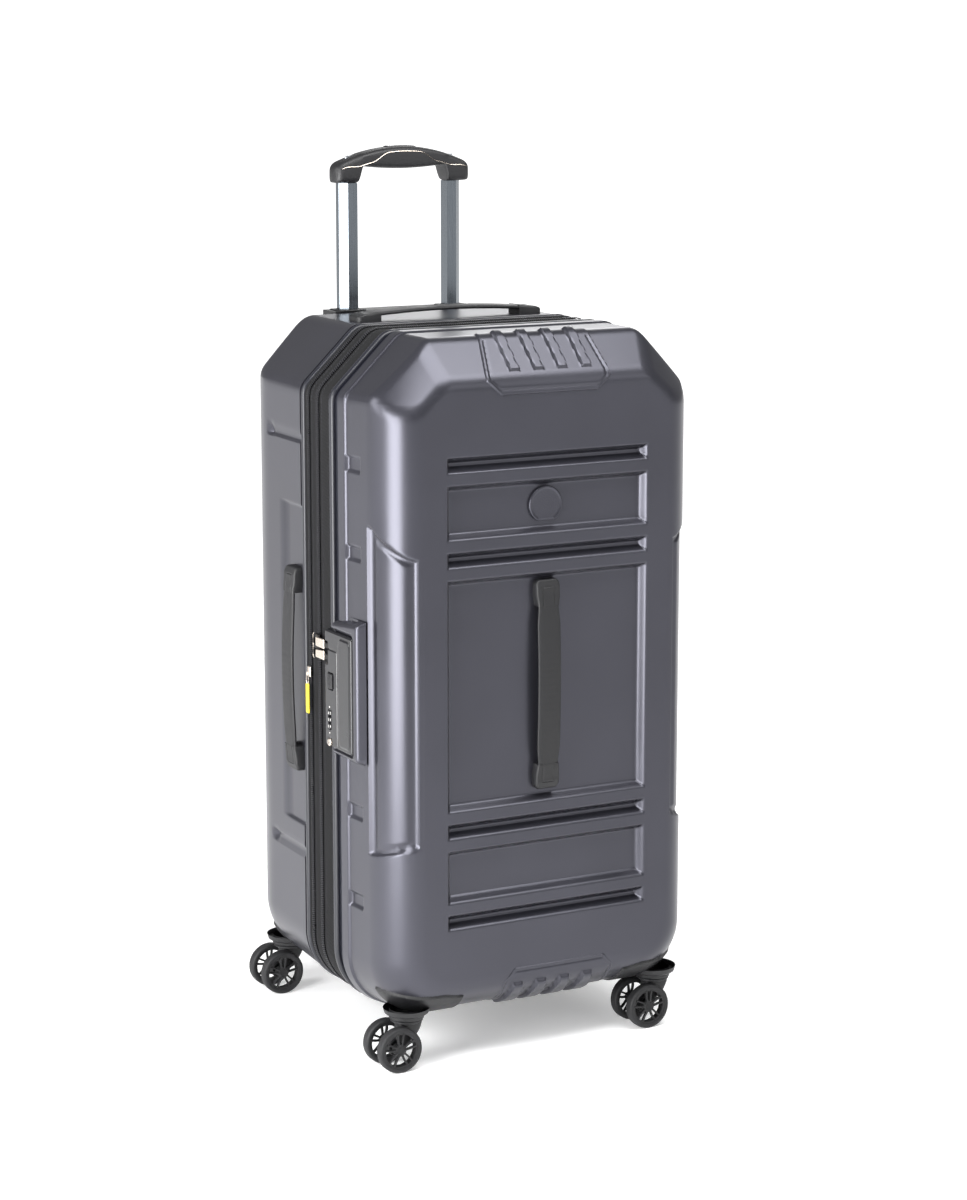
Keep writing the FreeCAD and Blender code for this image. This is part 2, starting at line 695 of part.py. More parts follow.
def lock():
    """The side lock: a raised frame, a body with windows, three number wheels, key and release button."""
    half = width / 2
    block = shell_block(front_rim, 0).fuse(rim_prism(front_rim - rim_strip, front_rim, 0))
    body_front = lock_front + lock_border
    body_low = lock_low + lock_border_low
    body_high = lock_high - lock_border_high
    face = -half - lock_proud
    body = box(face, -half - clear, body_front, lock_back, body_low, body_high)
    frame = box(-half - lock_proud + 2, -half + 8, lock_front, front_rim, lock_low, lock_high)
    frame = frame.cut(block).cut(body)
    nodes["lock_frame"] = frame
    axis_x = face + dial_radius - 0.6
    for k in range(3):
        z = dial_low + k * dial_pitch
        room = rod(Vec(axis_x, dial_y, z - dial_height / 2 - clear), Vec(0, 0, 1), dial_radius + clear,
                   dial_height + 2 * clear)
        body = body.cut(room)
        disc = rod(Vec(axis_x, dial_y, z - dial_height / 2), Vec(0, 0, 1), dial_radius, dial_height)
        pin_hole = rod(Vec(axis_x, dial_y, z - dial_height), Vec(0, 0, 1), 1.0 + running_gap, 2 * dial_height)
        nodes["lock_dial_" + str(k + 1)] = disc.cut(pin_hole)
    dial_pin = rod(Vec(axis_x, dial_y, dial_low - dial_height), Vec(0, 0, 1), 1.0,
                   2 * dial_pitch + 2 * dial_height)
    body = body.fuse(dial_pin)
    key_depth = lock_proud - 1.5
    body = body.cut(rod(Vec(face - 1, dial_y, key_z), Vec(1, 0, 0), key_radius + running_gap, key_depth + 1))
    key = rod(Vec(face - 0.5, dial_y, key_z), Vec(1, 0, 0), key_radius, key_depth)
    key = key.cut(box(face - 2, face + 2, dial_y - 0.6, dial_y + 0.6, key_z - 3, key_z + 3))
    nodes["lock_key"] = key
    seat = box(face - 1, face + 5, lock_button_front, lock_button_back, lock_button_low, lock_button_high)
    body = body.cut(seat)
    nodes["lock_button"] = box(face - 1.2, face + 2.6, lock_button_front + clear, lock_button_back - clear,
                               lock_button_low + clear, lock_button_high - clear)
    for z in pull_z:
        notch = box(face - 1, face + 6.2, lock_back - 9, lock_back + 1, z - pull_height / 2 - 0.8,
                    z + pull_height / 2 + 0.8)
        body = body.cut(notch)
    nodes["lock_body"] = body


def zip_pulls():
    """Sliders on the two zips, the two pulls that tuck into the lock, and the tagged expansion pull."""
    surface = -width / 2 + tape_inset - chain_proud
    slider_x0 = surface - 3.2
    pin_x = surface - 5.0
    sliders = []
    for k, z in enumerate(pull_z):
        base = box(slider_x0, surface - clear, main_zip - 5, main_zip + 5, z - 7, z + 7)
        bridge = box(slider_x0 - 3.4, slider_x0, main_zip + 2.4, main_zip + 4.4, z - 3, z + 3)
        sliders.append(base.fuse(bridge))
        tip = main_zip - pull_length
        points = [Vec(pin_x - 1, main_zip + 1.6, z - 3.5), Vec(pin_x - 1, main_zip + 1.6, z + 3.5),
                  Vec(pin_x - 1, main_zip - 6, z + pull_height / 2), Vec(pin_x - 1, tip, z + pull_height / 2 - 1),
                  Vec(pin_x - 1, tip, z - pull_height / 2 + 1), Vec(pin_x - 1, main_zip - 6, z - pull_height / 2)]
        nodes["zip_pull_" + ("upper" if k == 0 else "lower")] = prism(points, Vec(pull_thickness - 0.5, 0, 0))
    nodes["main_sliders"] = Part.makeCompound(sliders)
    z = expansion_slider_z
    base = box(slider_x0, surface - clear, expansion_zip - 4, expansion_zip + 4, z - 5, z + 5)
    nodes["expansion_slider"] = base
    x0 = slider_x0 - clear - 1.5
    loop = box(x0, x0 + 1.5, expansion_zip - 2, expansion_zip + 2, z - 14, z + 0.4)
    tag = box(x0, x0 + 1.5, expansion_zip - tag_width / 2, expansion_zip + tag_width / 2,
              z - 14 - tag_length, z - 14)
    nodes["expansion_pull"] = loop.fuse(tag)


def interior():
    """Linings, a flat pocket in the lid, and crossed packing straps with a buckle in the back half."""
    nodes["lid_lining"] = lining(front_rim, recess_depth + wall + 1.0)
    back = lining(depth - back_rim, tube_from_back + 16.0)
    nodes["back_lining"] = mirror_y(back)
    pocket_y0 = recess_depth + wall + 1.0 + lining_skin
    nodes["lid_pocket"] = box(-pocket_half, pocket_half, pocket_y0, pocket_y0 + 2.5, pocket_low, pocket_high)
    middle = height / 2 + 20
    y = back_rim + 6
    arms = []
    half = width / 2 - strip_step - wall - lining_gap - 2 * lining_skin - 1
    for sx in (-1, 1):
        for sz in (-1, 1):
            start = Vec(sx * 26, y, middle + sz * 8)
            end = Vec(sx * half, y, middle + sz * strap_reach)
            along = end - start
            length = along.Length
            arm = box(0, length, -lining_skin / 2, lining_skin / 2, -strap_width / 2, strap_width / 2)
            angle = math.degrees(math.atan2(along.z, along.x))
            arm.rotate(Vec(0, 0, 0), Vec(0, -1, 0), angle)
            arm.translate(start)
            arms.append(arm.common(box(-half, half, y - 5, y + 5, 0, height)))
    hub = box(-buckle_half, buckle_half, y - 4, y + 4, middle - buckle_half_height, middle + buckle_half_height)
    nodes["packing_straps"] = Part.makeCompound([arm.cut(hub) for arm in arms])
    nodes["strap_buckle"] = hub


def write_nodes():
    """Moves every piece so that the origin is at the bottom centre of the whole case, and writes it."""
    everything = Part.makeCompound(list(nodes.values()))
    bounds = everything.optimalBoundingBox(False)
    shift = Vec(-(bounds.XMin + bounds.XMax) / 2, -(bounds.YMin + bounds.YMax) / 2, -bounds.ZMin)
    os.makedirs("parts", exist_ok=True)
    for name, shape in nodes.items():
        shape = shape.copy()
        shape.translate(shift)
        shape.exportStep("parts/" + name + ".step")
    print("origin shift", round(shift.x, 4), round(shift.y, 4), round(shift.z, 4), "nodes", len(nodes))


nodes["front_shell"] = front_shell()
nodes["back_shell"] = back_shell()
interior()
zip_band()
trolley()
carry_handles()
casters()
trims()
lock()
zip_pulls()
write_nodes()
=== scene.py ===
import math

import bmesh
import bpy
import numpy as np
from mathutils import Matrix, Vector


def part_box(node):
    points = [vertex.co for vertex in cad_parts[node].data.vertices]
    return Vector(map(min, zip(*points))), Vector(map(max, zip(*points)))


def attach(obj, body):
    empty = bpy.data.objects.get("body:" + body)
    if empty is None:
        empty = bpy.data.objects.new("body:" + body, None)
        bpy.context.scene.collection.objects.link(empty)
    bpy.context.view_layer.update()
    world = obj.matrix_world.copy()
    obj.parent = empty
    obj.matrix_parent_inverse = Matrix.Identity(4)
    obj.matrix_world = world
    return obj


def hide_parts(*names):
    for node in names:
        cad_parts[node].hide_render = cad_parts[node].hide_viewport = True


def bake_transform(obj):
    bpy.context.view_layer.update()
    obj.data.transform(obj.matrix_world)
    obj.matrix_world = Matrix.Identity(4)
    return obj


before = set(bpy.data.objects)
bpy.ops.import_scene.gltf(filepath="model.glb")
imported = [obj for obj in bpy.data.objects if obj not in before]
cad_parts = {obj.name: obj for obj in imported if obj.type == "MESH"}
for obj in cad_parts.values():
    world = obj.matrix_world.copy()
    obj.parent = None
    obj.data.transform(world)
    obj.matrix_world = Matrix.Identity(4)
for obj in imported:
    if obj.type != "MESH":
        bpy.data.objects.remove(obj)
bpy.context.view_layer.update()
print("frame loaded")

# Sizes below are in mm: x from the case's middle, y back from the front face, z up from the floor.
shellLow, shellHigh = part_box("front_shell")
caseMiddle = (shellLow.x + shellHigh.x) / 2
caseFace = shellLow.y
caseHalf = (shellHigh.x - shellLow.x) * 500
caseTop = shellHigh.z * 1000
frontRim = (shellHigh.y - caseFace) * 1000
backRim = (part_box("back_shell")[0].y - caseFace) * 1000
caseBack = (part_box("back_shell")[1].y - caseFace) * 1000


def caseBox(node):  # a CAD node's box in those mm
    low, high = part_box(node)
    turn = np.array([[low.x - caseMiddle, low.y - caseFace, low.z],
                     [high.x - caseMiddle, high.y - caseFace, high.z]])
    return turn * 1000


def gridFaces(rows, columns, closedRows=False, closedColumns=False):
    # quads between neighbouring lines of a grid; a closed direction joins its last line to its first
    r, c = np.meshgrid(np.arange(rows - (not closedRows)), np.arange(columns - (not closedColumns)),
                       indexing="ij")
    r2, c2 = (r + 1) % rows, (c + 1) % columns
    quads = [r * columns + c, r * columns + c2, r2 * columns + c2, r2 * columns + c]
    return np.stack(quads, -1).reshape(-1, 4)


def capOf(loop):  # closes a loop with a fan of quads to its middle
    middle = np.broadcast_to(loop.mean(0), loop.shape)
    return np.stack([loop, middle]), gridFaces(2, len(loop), False, True)


def closedTube(points):  # rings joined lengthwise, capped at both ends
    return [(points, gridFaces(*points.shape[:2], False, True)), capOf(points[0]), capOf(points[-1])]


def borderOf(surface):  # the outline of a grid, once round
    return np.concatenate([surface[0], surface[1:, -1], surface[-1, -2::-1], surface[-2:0:-1, 0]])


def skirt(surface, footX):  # a wall from a grid's outline in to a plane of x
    border = borderOf(surface)
    foot = border.copy()
    foot[:, 0] = footX
    return np.stack([border, foot]), gridFaces(2, len(border), False, True)


def unit(vectors):  # each vector along the last axis, made 1 long
    return vectors / np.linalg.norm(vectors, axis=-1, keepdims=True)


def aroundLoop(count):  # angles once round, the last left out
    return np.linspace(0, 2 * math.pi, count, endpoint=False)


def squared(wave, power):  # a sine or cosine pushed towards a square: sign * |wave| ** power
    return np.sign(wave) * np.abs(wave) ** power


def quarterRound(share):  # the drop of a quarter circle: 1 up to share 0, then down to 0 at share 1
    return np.sqrt(np.clip(1 - np.clip(share, 0, 1) ** 2, 0, 1))


def always(vector, count):  # one direction for each of count stations
    return np.tile(np.array(vector, float), (count, 1))


def repeated(section, count):  # one section for each of count stations
    return np.broadcast_to(section, (count,) + section.shape)


def makePiece(name, parts, body, material, replaces=(), weld=0.02, closed=True, sharp=40.0):
    # parts are (points, quads) in mm; they become one welded mesh whose place is in its vertices
    points = np.concatenate([np.asarray(p, float).reshape(-1, 3) for p, f in parts])
    starts = np.cumsum([0] + [np.asarray(p).reshape(-1, 3).shape[0] for p, f in parts[:-1]])
    quads = np.concatenate([np.asarray(f).reshape(-1, 4) + s for (p, f), s in zip(parts, starts)])
    placed = points / 1000 + np.array([caseMiddle, caseFace, 0.0])
    mesh = bpy.data.meshes.new(name)
    mesh.vertices.add(len(placed))
    mesh.vertices.foreach_set("co", placed.ravel())
    mesh.loops.add(quads.size)
    mesh.loops.foreach_set("vertex_index", quads.astype(np.int32).ravel())
    mesh.polygons.add(len(quads))
    mesh.polygons.foreach_set("loop_start", np.arange(0, quads.size, 4, dtype=np.int32))
    mesh.update(calc_edges=True)
    work = bmesh.new()
    work.from_mesh(mesh)
    bmesh.ops.remove_doubles(work, verts=work.verts, dist=weld / 1000)
    bmesh.ops.dissolve_degenerate(work, edges=work.edges, dist=weld / 2000)
    if closed:
        bmesh.ops.recalc_face_normals(work, faces=work.faces)
    work.to_mesh(mesh)
    work.free()
    mesh.polygons.foreach_set("use_smooth", np.ones(len(mesh.polygons), bool))
    mesh.set_sharp_from_angle(angle=math.radians(sharp))
    mesh.update()
    piece = bpy.data.objects.new(name, mesh)
    bpy.context.scene.collection.objects.link(piece)
    mesh.materials.append(material)
    if body:
        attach(piece, body)
    if replaces:
        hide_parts(*replaces)
    return piece


def sweep(frames, profile, closedPath=False, capped=True):
    # a profile carried along a path: point = centre + across * u + up * v at every station
    centre, across, up = frames
    u, v = profile[..., 0], profile[..., 1]
    points = centre[:, None] + across[:, None] * u[..., None] + up[:, None] * v[..., None]
    rows, columns = points.shape[:2]
    parts = [(points, gridFaces(rows, columns, closedPath, True))]
    if capped and not closedPath:
        parts += [capOf(points[0]), capOf(points[-1])]
    return parts


def roundedBox(low, high, radius, steps=4):
    # a box with round edges: a unit sphere's grid pushed apart by the box's half sizes less the radius
    low, high = np.array(low, float), np.array(high, float)
    half = (high - low) / 2
    radius = min(radius, half.min() * 0.98)
    core = half - radius
    a = np.linspace(0, math.pi / 2, steps + 1)
    around = np.concatenate([a + q * math.pi / 2 for q in range(4)])
    quadX = np.repeat([1, -1, -1, 1], steps + 1)
    quadY = np.repeat([1, 1, -1, -1], steps + 1)
    rise = np.concatenate([-a[::-1], a])
    quadZ = np.repeat([-1, 1], steps + 1)
    ring = np.stack([np.cos(around), np.sin(around)], -1)
    x = ring[None, :, 0] * np.cos(rise)[:, None] * radius + quadX[None] * core[0]
    y = ring[None, :, 1] * np.cos(rise)[:, None] * radius + quadY[None] * core[1]
    z = np.broadcast_to(np.sin(rise)[:, None] * radius + quadZ[:, None] * core[2], x.shape)
    points = np.stack([x, y, z], -1) + (low + high) / 2
    return closedTube(points)


def turned(profile, start, direction, steps=48):
    # a profile of (radius, height) pairs spun round an axis: point = start + direction * h + r * (cos, sin)
    direction = np.array(direction, float) / np.linalg.norm(direction)
    side = np.cross(direction, [1.0, 0, 0] if abs(direction[0]) < 0.9 else [0, 1.0, 0])
    side /= np.linalg.norm(side)
    other = np.cross(direction, side)
    a = aroundLoop(steps)
    spoke = np.cos(a)[:, None] * side + np.sin(a)[:, None] * other
    profile = np.array(profile, float)
    reach, rise = profile[:, 0][:, None, None], profile[:, 1][:, None, None]
    points = np.array(start, float) + rise * direction + reach * spoke
    return [(points, gridFaces(len(profile), steps, False, True))]


def smoothStep(x):
    x = np.clip(x, 0, 1)
    return x * x * (3 - 2 * x)


def linesThrough(low, high, gap, crowded=(), closeGap=1.0, reach=6.0):
    # grid lines from low to high, gap apart, with closer lines near each crowded place
    places = [np.arange(low, high, gap), [high]]
    for place in crowded:
        places.append(np.arange(place - reach, place + reach + 0.01, closeGap))
    lines = np.unique(np.round(np.concatenate(places), 3))
    lines = lines[(lines >= low) & (lines <= high)]
    keep = np.concatenate([[True], np.diff(lines) > 0.35])
    keep[-1] = True
    return lines[keep]


def linearColour(code, alpha=1.0):  # sRGB hex to the linear values the shader takes
    parts = [int(code[i:i + 2], 16) / 255 for i in (1, 3, 5)]
    return tuple(c / 12.92 if c <= 0.04045 else ((c + 0.055) / 1.055) ** 2.4 for c in parts) + (alpha,)


def addNode(tree, kind, inputs=None, **settings):
    # a node with its settings; an input is a value or another node's output
    made = tree.nodes.new(kind)
    for key, value in settings.items():
        setattr(made, key, value)
    for key, value in (inputs or {}).items():
        if isinstance(value, bpy.types.NodeSocket):
            tree.links.new(value, made.inputs[key])
        else:
            made.inputs[key].default_value = value
    return made


def newMaterial(name, **shader):
    material = bpy.data.materials.new(name)
    material.use_nodes = True
    tree = material.node_tree
    tree.nodes.clear()
    surface = addNode(tree, "ShaderNodeBsdfPrincipled", shader)
    addNode(tree, "ShaderNodeOutputMaterial", {"Surface": surface.outputs[0]})
    place = addNode(tree, "ShaderNodeTexCoord").outputs["Object"]
    return material, tree, surface, place


def twoColours(tree, factor, first, second):
    mixed = addNode(tree, "ShaderNodeMix", {6: linearColour(first), 7: linearColour(second)},
                    data_type="RGBA")
    tree.links.new(factor, mixed.inputs[0])
    return mixed.outputs[2]


def levels(tree, value, low, high, toLow, toHigh):
    return addNode(tree, "ShaderNodeMapRange", {0: value, 1: low, 2: high, 3: toLow, 4: toHigh}).outputs[0]


def noise(tree, place, scale, detail):
    return addNode(tree, "ShaderNodeTexNoise", {"Vector": place, "Scale": scale, "Detail": detail}).outputs[0]


def waves(tree, place, scale, direction):
    shape = {"Vector": place, "Scale": scale, "Distortion": 0.6, "Detail": 1.0}
    return addNode(tree, "ShaderNodeTexWave", shape, bands_direction=direction).outputs[1]


def relief(tree, surface, height, strength, distance, **under):
    # a height shown as bump, over another if one is given
    inputs = {"Strength": strength, "Distance": distance, "Height": height, **under}
    bump = addNode(tree, "ShaderNodeBump", inputs)
    tree.links.new(bump.outputs[0], surface.inputs["Normal"])
    return bump.outputs[0]


# Metallic-effect polycarbonate, vacuum-formed: a smooth satin skin whose pearl flakes make the lit facets
# much paler than the shaded ones, with a faint orange peel from the mould.
shellFinish = {"colour": "#43434b", "shade": "#3a3a41", "metallic": 0.7, "roughness": 0.3, "peelMm": 2.6,
               "grainMm": 0.5}


def shellSkin(name, grain=0.0, finish=shellFinish):
    material, tree, surface, place = newMaterial(name, Metallic=finish["metallic"],
                                                 Roughness=finish["roughness"])
    surface.inputs["Coat Weight"].default_value = 0.12
    surface.inputs["Coat Roughness"].default_value = 0.28
    cloud = noise(tree, place, 9.0, 1.0)
    tree.links.new(twoColours(tree, cloud, finish["shade"], finish["colour"]), surface.inputs["Base Color"])
    gloss = levels(tree, cloud, 0.0, 1.0, finish["roughness"] - 0.04, finish["roughness"] + 0.06)
    tree.links.new(gloss, surface.inputs["Roughness"])
    peel = relief(tree, surface, noise(tree, place, 1000 / finish["peelMm"] / 4, 0.0), 0.012, 0.0004)
    if grain:  # leather-like mould grain, drawn a little coarse so that it shows
        cells = {"Vector": place, "Scale": 1000 / finish["grainMm"] / 3.2}
        pits = addNode(tree, "ShaderNodeTexVoronoi", cells, feature="SMOOTH_F1").outputs[0]
        relief(tree, surface, pits, grain, 0.0003, Normal=peel)
    return material


# Moulded nylon and ABS with a spark-eroded mould texture: near black, soft highlight, fine pits.
def mouldedBlack(name, colour="#0d0d0f", roughness=0.5, grain=0.25, grainMm=0.8, second="#17171a"):
    material, tree, surface, place = newMaterial(name, Roughness=roughness)
    cloud = noise(tree, place, 30.0, 5.0)
    tree.links.new(twoColours(tree, cloud, colour, second), surface.inputs["Base Color"])
    tree.links.new(levels(tree, cloud, 0.3, 0.7, roughness - 0.05, roughness + 0.08),
                   surface.inputs["Roughness"])
    relief(tree, surface, noise(tree, place, 1000 / grainMm / 3, 3.0), grain, 0.0003)
    return material


# Woven polyester: threads over and under, drawn from two crossed waves, with a soft sheen and slight fading.
def wovenCloth(name, first, second, threadMm=0.9, sheen=0.25, roughness=0.85, depth=0.5):
    material, tree, surface, place = newMaterial(name, Roughness=roughness)
    surface.inputs["Sheen Weight"].default_value = sheen
    surface.inputs["Specular IOR Level"].default_value = 0.2
    surface.inputs["Sheen Roughness"].default_value = 0.5
    turnedPlace = addNode(tree, "ShaderNodeMapping",
                          {"Vector": place, "Rotation": (0.35, 0.25, 0.15)}).outputs[0]
    scale = 100 * math.pi / threadMm   # a wave's period is 2 pi / (20 * scale) metres
    warp, weft = waves(tree, turnedPlace, scale, "X"), waves(tree, turnedPlace, scale, "Z")
    weave = addNode(tree, "ShaderNodeMath", {0: warp, 1: weft}, operation="MULTIPLY").outputs[0]
    fade = noise(tree, place, 14.0, 4.0)
    tone = addNode(tree, "ShaderNodeMath", {0: weave, 1: fade}, operation="MULTIPLY").outputs[0]
    tree.links.new(twoColours(tree, levels(tree, tone, 0.0, 0.5, 0.0, 1.0), first, second),
                   surface.inputs["Base Color"])
    relief(tree, surface, weave, depth, 0.0004)
    return material


# Plated or drawn metal: fine lines along one axis in roughness and height.
def drawnMetal(name, colour, shade, roughness=0.25, lineMm=0.4, along=(1.0, 1.0, 0.02), metallic=1.0):
    material, tree, surface, place = newMaterial(name, Metallic=metallic, Roughness=roughness)
    stretched = addNode(tree, "ShaderNodeMapping", {"Vector": place, "Scale": along}).outputs[0]
    lines = noise(tree, stretched, 1000 / lineMm / 3, 3.0)
    tree.links.new(twoColours(tree, lines, shade, colour), surface.inputs["Base Color"])
    tree.links.new(levels(tree, lines, 0.3, 0.7, roughness - 0.05, roughness + 0.1),
                   surface.inputs["Roughness"])
    relief(tree, surface, lines, 0.08, 0.0002)
    return material


shellSmooth = shellSkin("moulded polycarbonate, satin pearl")
shellGrained = shellSkin("moulded polycarbonate, grained", grain=0.35)
guardSkin = shellSkin("moulded guard, lightly grained", grain=0.12)
nylonBlack = mouldedBlack("moulded nylon, black")
housingBlack = mouldedBlack("moulded ABS, spark-eroded", "#0c0c0e", 0.5, 0.3, 1.0)
gripRubber = mouldedBlack("over-moulded rubber", "#0e0e10", 0.55, 0.35, 0.9)
glossBlack = mouldedBlack("polished ABS, black", "#111114", 0.22, 0.05, 1.5)
pipingBlack = mouldedBlack("extruded vinyl piping", "#14151c", 0.34, 0.1, 1.2, "#1d1e26")
treadRubber = mouldedBlack("cast polyurethane tread", "#0b0b0c", 0.65, 0.3, 1.2)
tapeCloth = wovenCloth("woven zip tape", "#050506", "#141417", 1.1, 0.02)
liningCloth = wovenCloth("woven polyester lining", "#26262b", "#42424a", 2.6, 0.1)
meshCloth = wovenCloth("knitted pocket mesh", "#131316", "#2c2c31", 3.2, 0.1, 0.9, 0.9)
webbingCloth = wovenCloth("woven webbing", "#0c0c0e", "#212125", 2.6, 0.08, 0.8, 0.8)
coilNylon = mouldedBlack("nylon zip coil", "#1c1c20", 0.3, 0.05, 1.0, "#2a2a2f")
anodisedTube = drawnMetal("drawn aluminium, anodised", "#7b8187", "#5d6369", 0.24)
platedZinc = drawnMetal("plated zinc, champagne", "#e3d8cc", "#c9beb3", 0.22, 0.6, (1.0, 1.0, 1.0))
zincSteel = drawnMetal("zinc-plated steel", "#b9bcc0", "#94989d", 0.3)
darkSlider = drawnMetal("blackened zinc", "#2c2a2a", "#1d1c1c", 0.3, 0.6, (1.0, 1.0, 1.0))
print("materials made")

# the moulded shells
mould = {
    "half": caseHalf - 2.0, "lean": 8.0, "low": 47.0, "lift": 13.0, "bottomRound": 66.0,
    "sideWide": 40.0, "sideDeep": 54.0, "backWide": 56.0, "backDeep": 72.0, "facetRound": 5.0,
    "chamferX": 66.5, "chamferZ": 65.0, "bevelHigh": 46.5, "bevelDeep": 40.0, "faceHalf": 158.0,
    "facetHalf": 125.0, "facetLow": 725.0,
}


def roundMax(a, b, radius):
    # the intersection of two fields with a fillet: sqrt(a'^2 + b'^2) - radius where both are near
    ca, cb = a + radius, b + radius
    return np.minimum(np.maximum(ca, cb), 0) + np.hypot(np.maximum(ca, 0), np.maximum(cb, 0)) - radius


def shellField(points, rim, back):
    # below 0 inside the block: sides, rounded bottom corners and face, then the facets cut off the top
    x, y, z = np.abs(points[..., 0]), points[..., 1], points[..., 2]
    share = np.clip(y / rim, -0.2, 1)
    side = x - (mould["half"] - mould["lean"] * (1 - share) * (0.6 if back else 1.0))
    low = mould["low"] + mould["lift"] * (1 - share) * (0.55 if back else 1.0) - z
    wide, deep = (mould["backWide"], mould["backDeep"]) if back else (mould["sideWide"], mould["sideDeep"])
    field = roundMax(side, low, mould["bottomRound"])
    field = roundMax(field, -y * wide / deep, wide)
    cx, cz = mould["chamferX"], mould["chamferZ"]
    slope = math.hypot(cx, cz)
    chamfer = ((x - (caseHalf - cx)) * cz + (z - caseTop) * cx) / slope + 1.6 + 2.6 * (1 - share)
    field = roundMax(field, chamfer, mould["facetRound"])
    field = roundMax(field, z - (caseTop - 1.2), mould["facetRound"])
    bevelLow = caseTop - mould["bevelHigh"]
    steep = math.hypot(mould["bevelHigh"], mould["bevelDeep"])
    bevel = ((z - bevelLow) * mould["bevelDeep"] - y * mould["bevelHigh"]) / steep
    field = roundMax(field, bevel, mould["facetRound"])
    a = np.array([mould["faceHalf"], 0, mould["facetLow"]])
    b = np.array([mould["facetHalf"], 0, bevelLow])
    c = np.array([mould["facetHalf"] + 14, mould["bevelDeep"], caseTop])
    normal = np.cross(a - b, c - b)
    normal /= np.linalg.norm(normal)
    normal *= np.sign(normal[2])
    turn = np.clip(y / 54, 0, 1.3) * np.clip((x - 125 - 0.34 * y) / (65 - 0.34 * y), 0, 1.3)
    corner = (x - b[0]) * normal[0] + y * normal[1] + (z - b[2]) * normal[2] + 13.0 * turn
    return roundMax(field, corner, mould["facetRound"])


def slopeOf(points, rim, back):  # the field's outward normal, from differences 0.4 mm either way
    parts = []
    for k in range(3):
        step = np.zeros(3)
        step[k] = 0.4
        parts.append(shellField(points + step, rim, back) - shellField(points - step, rim, back))
    normal = np.stack(parts, -1)
    return normal / np.maximum(np.linalg.norm(normal, axis=-1, keepdims=True), 1e-9)


def castToShell(starts, directions, rim, back, far, inset=0.0):
    # distance along each ray where the field, moved in by inset, turns positive, found by halving
    near, reach = np.zeros(starts.shape[:-1]), np.full(starts.shape[:-1], float(far))
    for _ in range(26):
        middle = (near + reach) / 2
        inside = shellField(starts + directions * middle[..., None], rim, back) < -inset
        near, reach = np.where(inside, middle, near), np.where(inside, reach, middle)
    return starts + directions * near[..., None]


patch = {"half": 127.0, "low": 142.0, "high": 733.0}   # the flat middle of the face, a plain grid
pivotIn = 62.0                                         # where the fan of rays round the edge turns


def loopStations(zLines, xLines, cornerSteps):
    # round the middle of the face: up the left, over the top, down the right, back along the bottom,
    # each station a start on the patch's edge and an outward direction, fanned at the four corners
    starts, outs = [], []
    fan = np.linspace(0, math.pi / 2, cornerSteps + 2)[1:-1]
    h, lo, hi = patch["half"], patch["low"], patch["high"]
    corners = [((-h, hi), math.pi, math.pi / 2), ((h, hi), math.pi / 2, 0), ((h, lo), 0, -math.pi / 2),
               ((-h, lo), -math.pi / 2, -math.pi)]
    runs = [
        (np.full(len(zLines), -h), zLines, (-1, 0)),
        (xLines, np.full(len(xLines), hi), (0, 1)),
        (np.full(len(zLines), h), zLines[::-1], (1, 0)),
        (xLines[::-1], np.full(len(xLines), lo), (0, -1)),
    ]
    for (x, z, out), ((cx, cz), a0, a1) in zip(runs, corners):
        starts.append(np.stack([x, z], -1))
        outs.append(np.broadcast_to(np.array(out, float), (len(x), 2)))
        turn = a0 + (a1 - a0) * fan / (math.pi / 2)
        starts.append(np.broadcast_to(np.array([cx, cz], float), (len(fan), 2)))
        outs.append(np.stack([np.cos(turn), np.sin(turn)], -1))
    return np.concatenate(starts), np.concatenate(outs)


def skinGrid(starts, outs, rim, back, sideLines, fanSteps, marginShares, inset=0.0):
    # rows run from the rim forwards, round the edge, and in over the face to the patch: three sets of rays
    n = len(starts)
    base = np.zeros((n, 3))
    base[:, 0], base[:, 2] = starts[:, 0], starts[:, 1]
    out = np.zeros((n, 3))
    out[:, 0], out[:, 2] = outs[:, 0], outs[:, 1]
    forward = np.array([0.0, -1.0, 0.0])
    deepBase = base.copy()
    deepBase[:, 1] = pivotIn
    edge = castToShell(deepBase, out, rim, back, 320, inset)
    room = np.linalg.norm(edge - deepBase, axis=1)
    pivot = np.maximum(room - pivotIn, 0.0)
    rows = []
    for y in sideLines:
        start = base.copy()
        start[:, 1] = y
        rows.append(castToShell(start, out, rim, back, 320, inset))
    turningPoint = deepBase + out * pivot[:, None]
    for angle in np.linspace(0, math.pi / 2, fanSteps + 2)[1:]:
        ray = out * math.cos(angle) + forward * math.sin(angle)
        rows.append(castToShell(turningPoint, ray, rim, back, 200, inset))
    for share in marginShares:
        start = base + out * (pivot * share)[:, None]
        start[:, 1] = pivotIn
        rows.append(castToShell(start, np.broadcast_to(forward, start.shape), rim, back, 200, inset))
    skin = np.stack(rows)
    # the field runs slower towards the face, so an inner wall is drawn forwards there to keep its distance
    wide, deep = (mould["backWide"], mould["backDeep"]) if back else (mould["sideWide"], mould["sideDeep"])
    skin[..., 1] -= inset * (deep / wide - 1) * smoothStep((58 - skin[..., 1]) / 38)
    return skin


def box2(x, z, x0, x1, z0, z1):  # signed distance to a rectangle, below 0 inside
    return np.maximum(np.abs(x - (x0 + x1) / 2) - (x1 - x0) / 2, np.abs(z - (z0 + z1) / 2) - (z1 - z0) / 2)


facePattern = {"half": 124.5, "low": 156.0, "rib": 11.5, "slot": 18.5, "label": 60.5, "handle": 256.0,
               "deep": 10.5, "wall": 8.0}


def faceRows():  # bottom and top height of each recess of the face
    rows, z = [], facePattern["low"]
    for kind in ("slot", "label", "slot", "handle", "slot", "label", "slot"):
        rows.append((z, z + facePattern[kind], kind))
        z += facePattern[kind] + facePattern["rib"]
    return rows


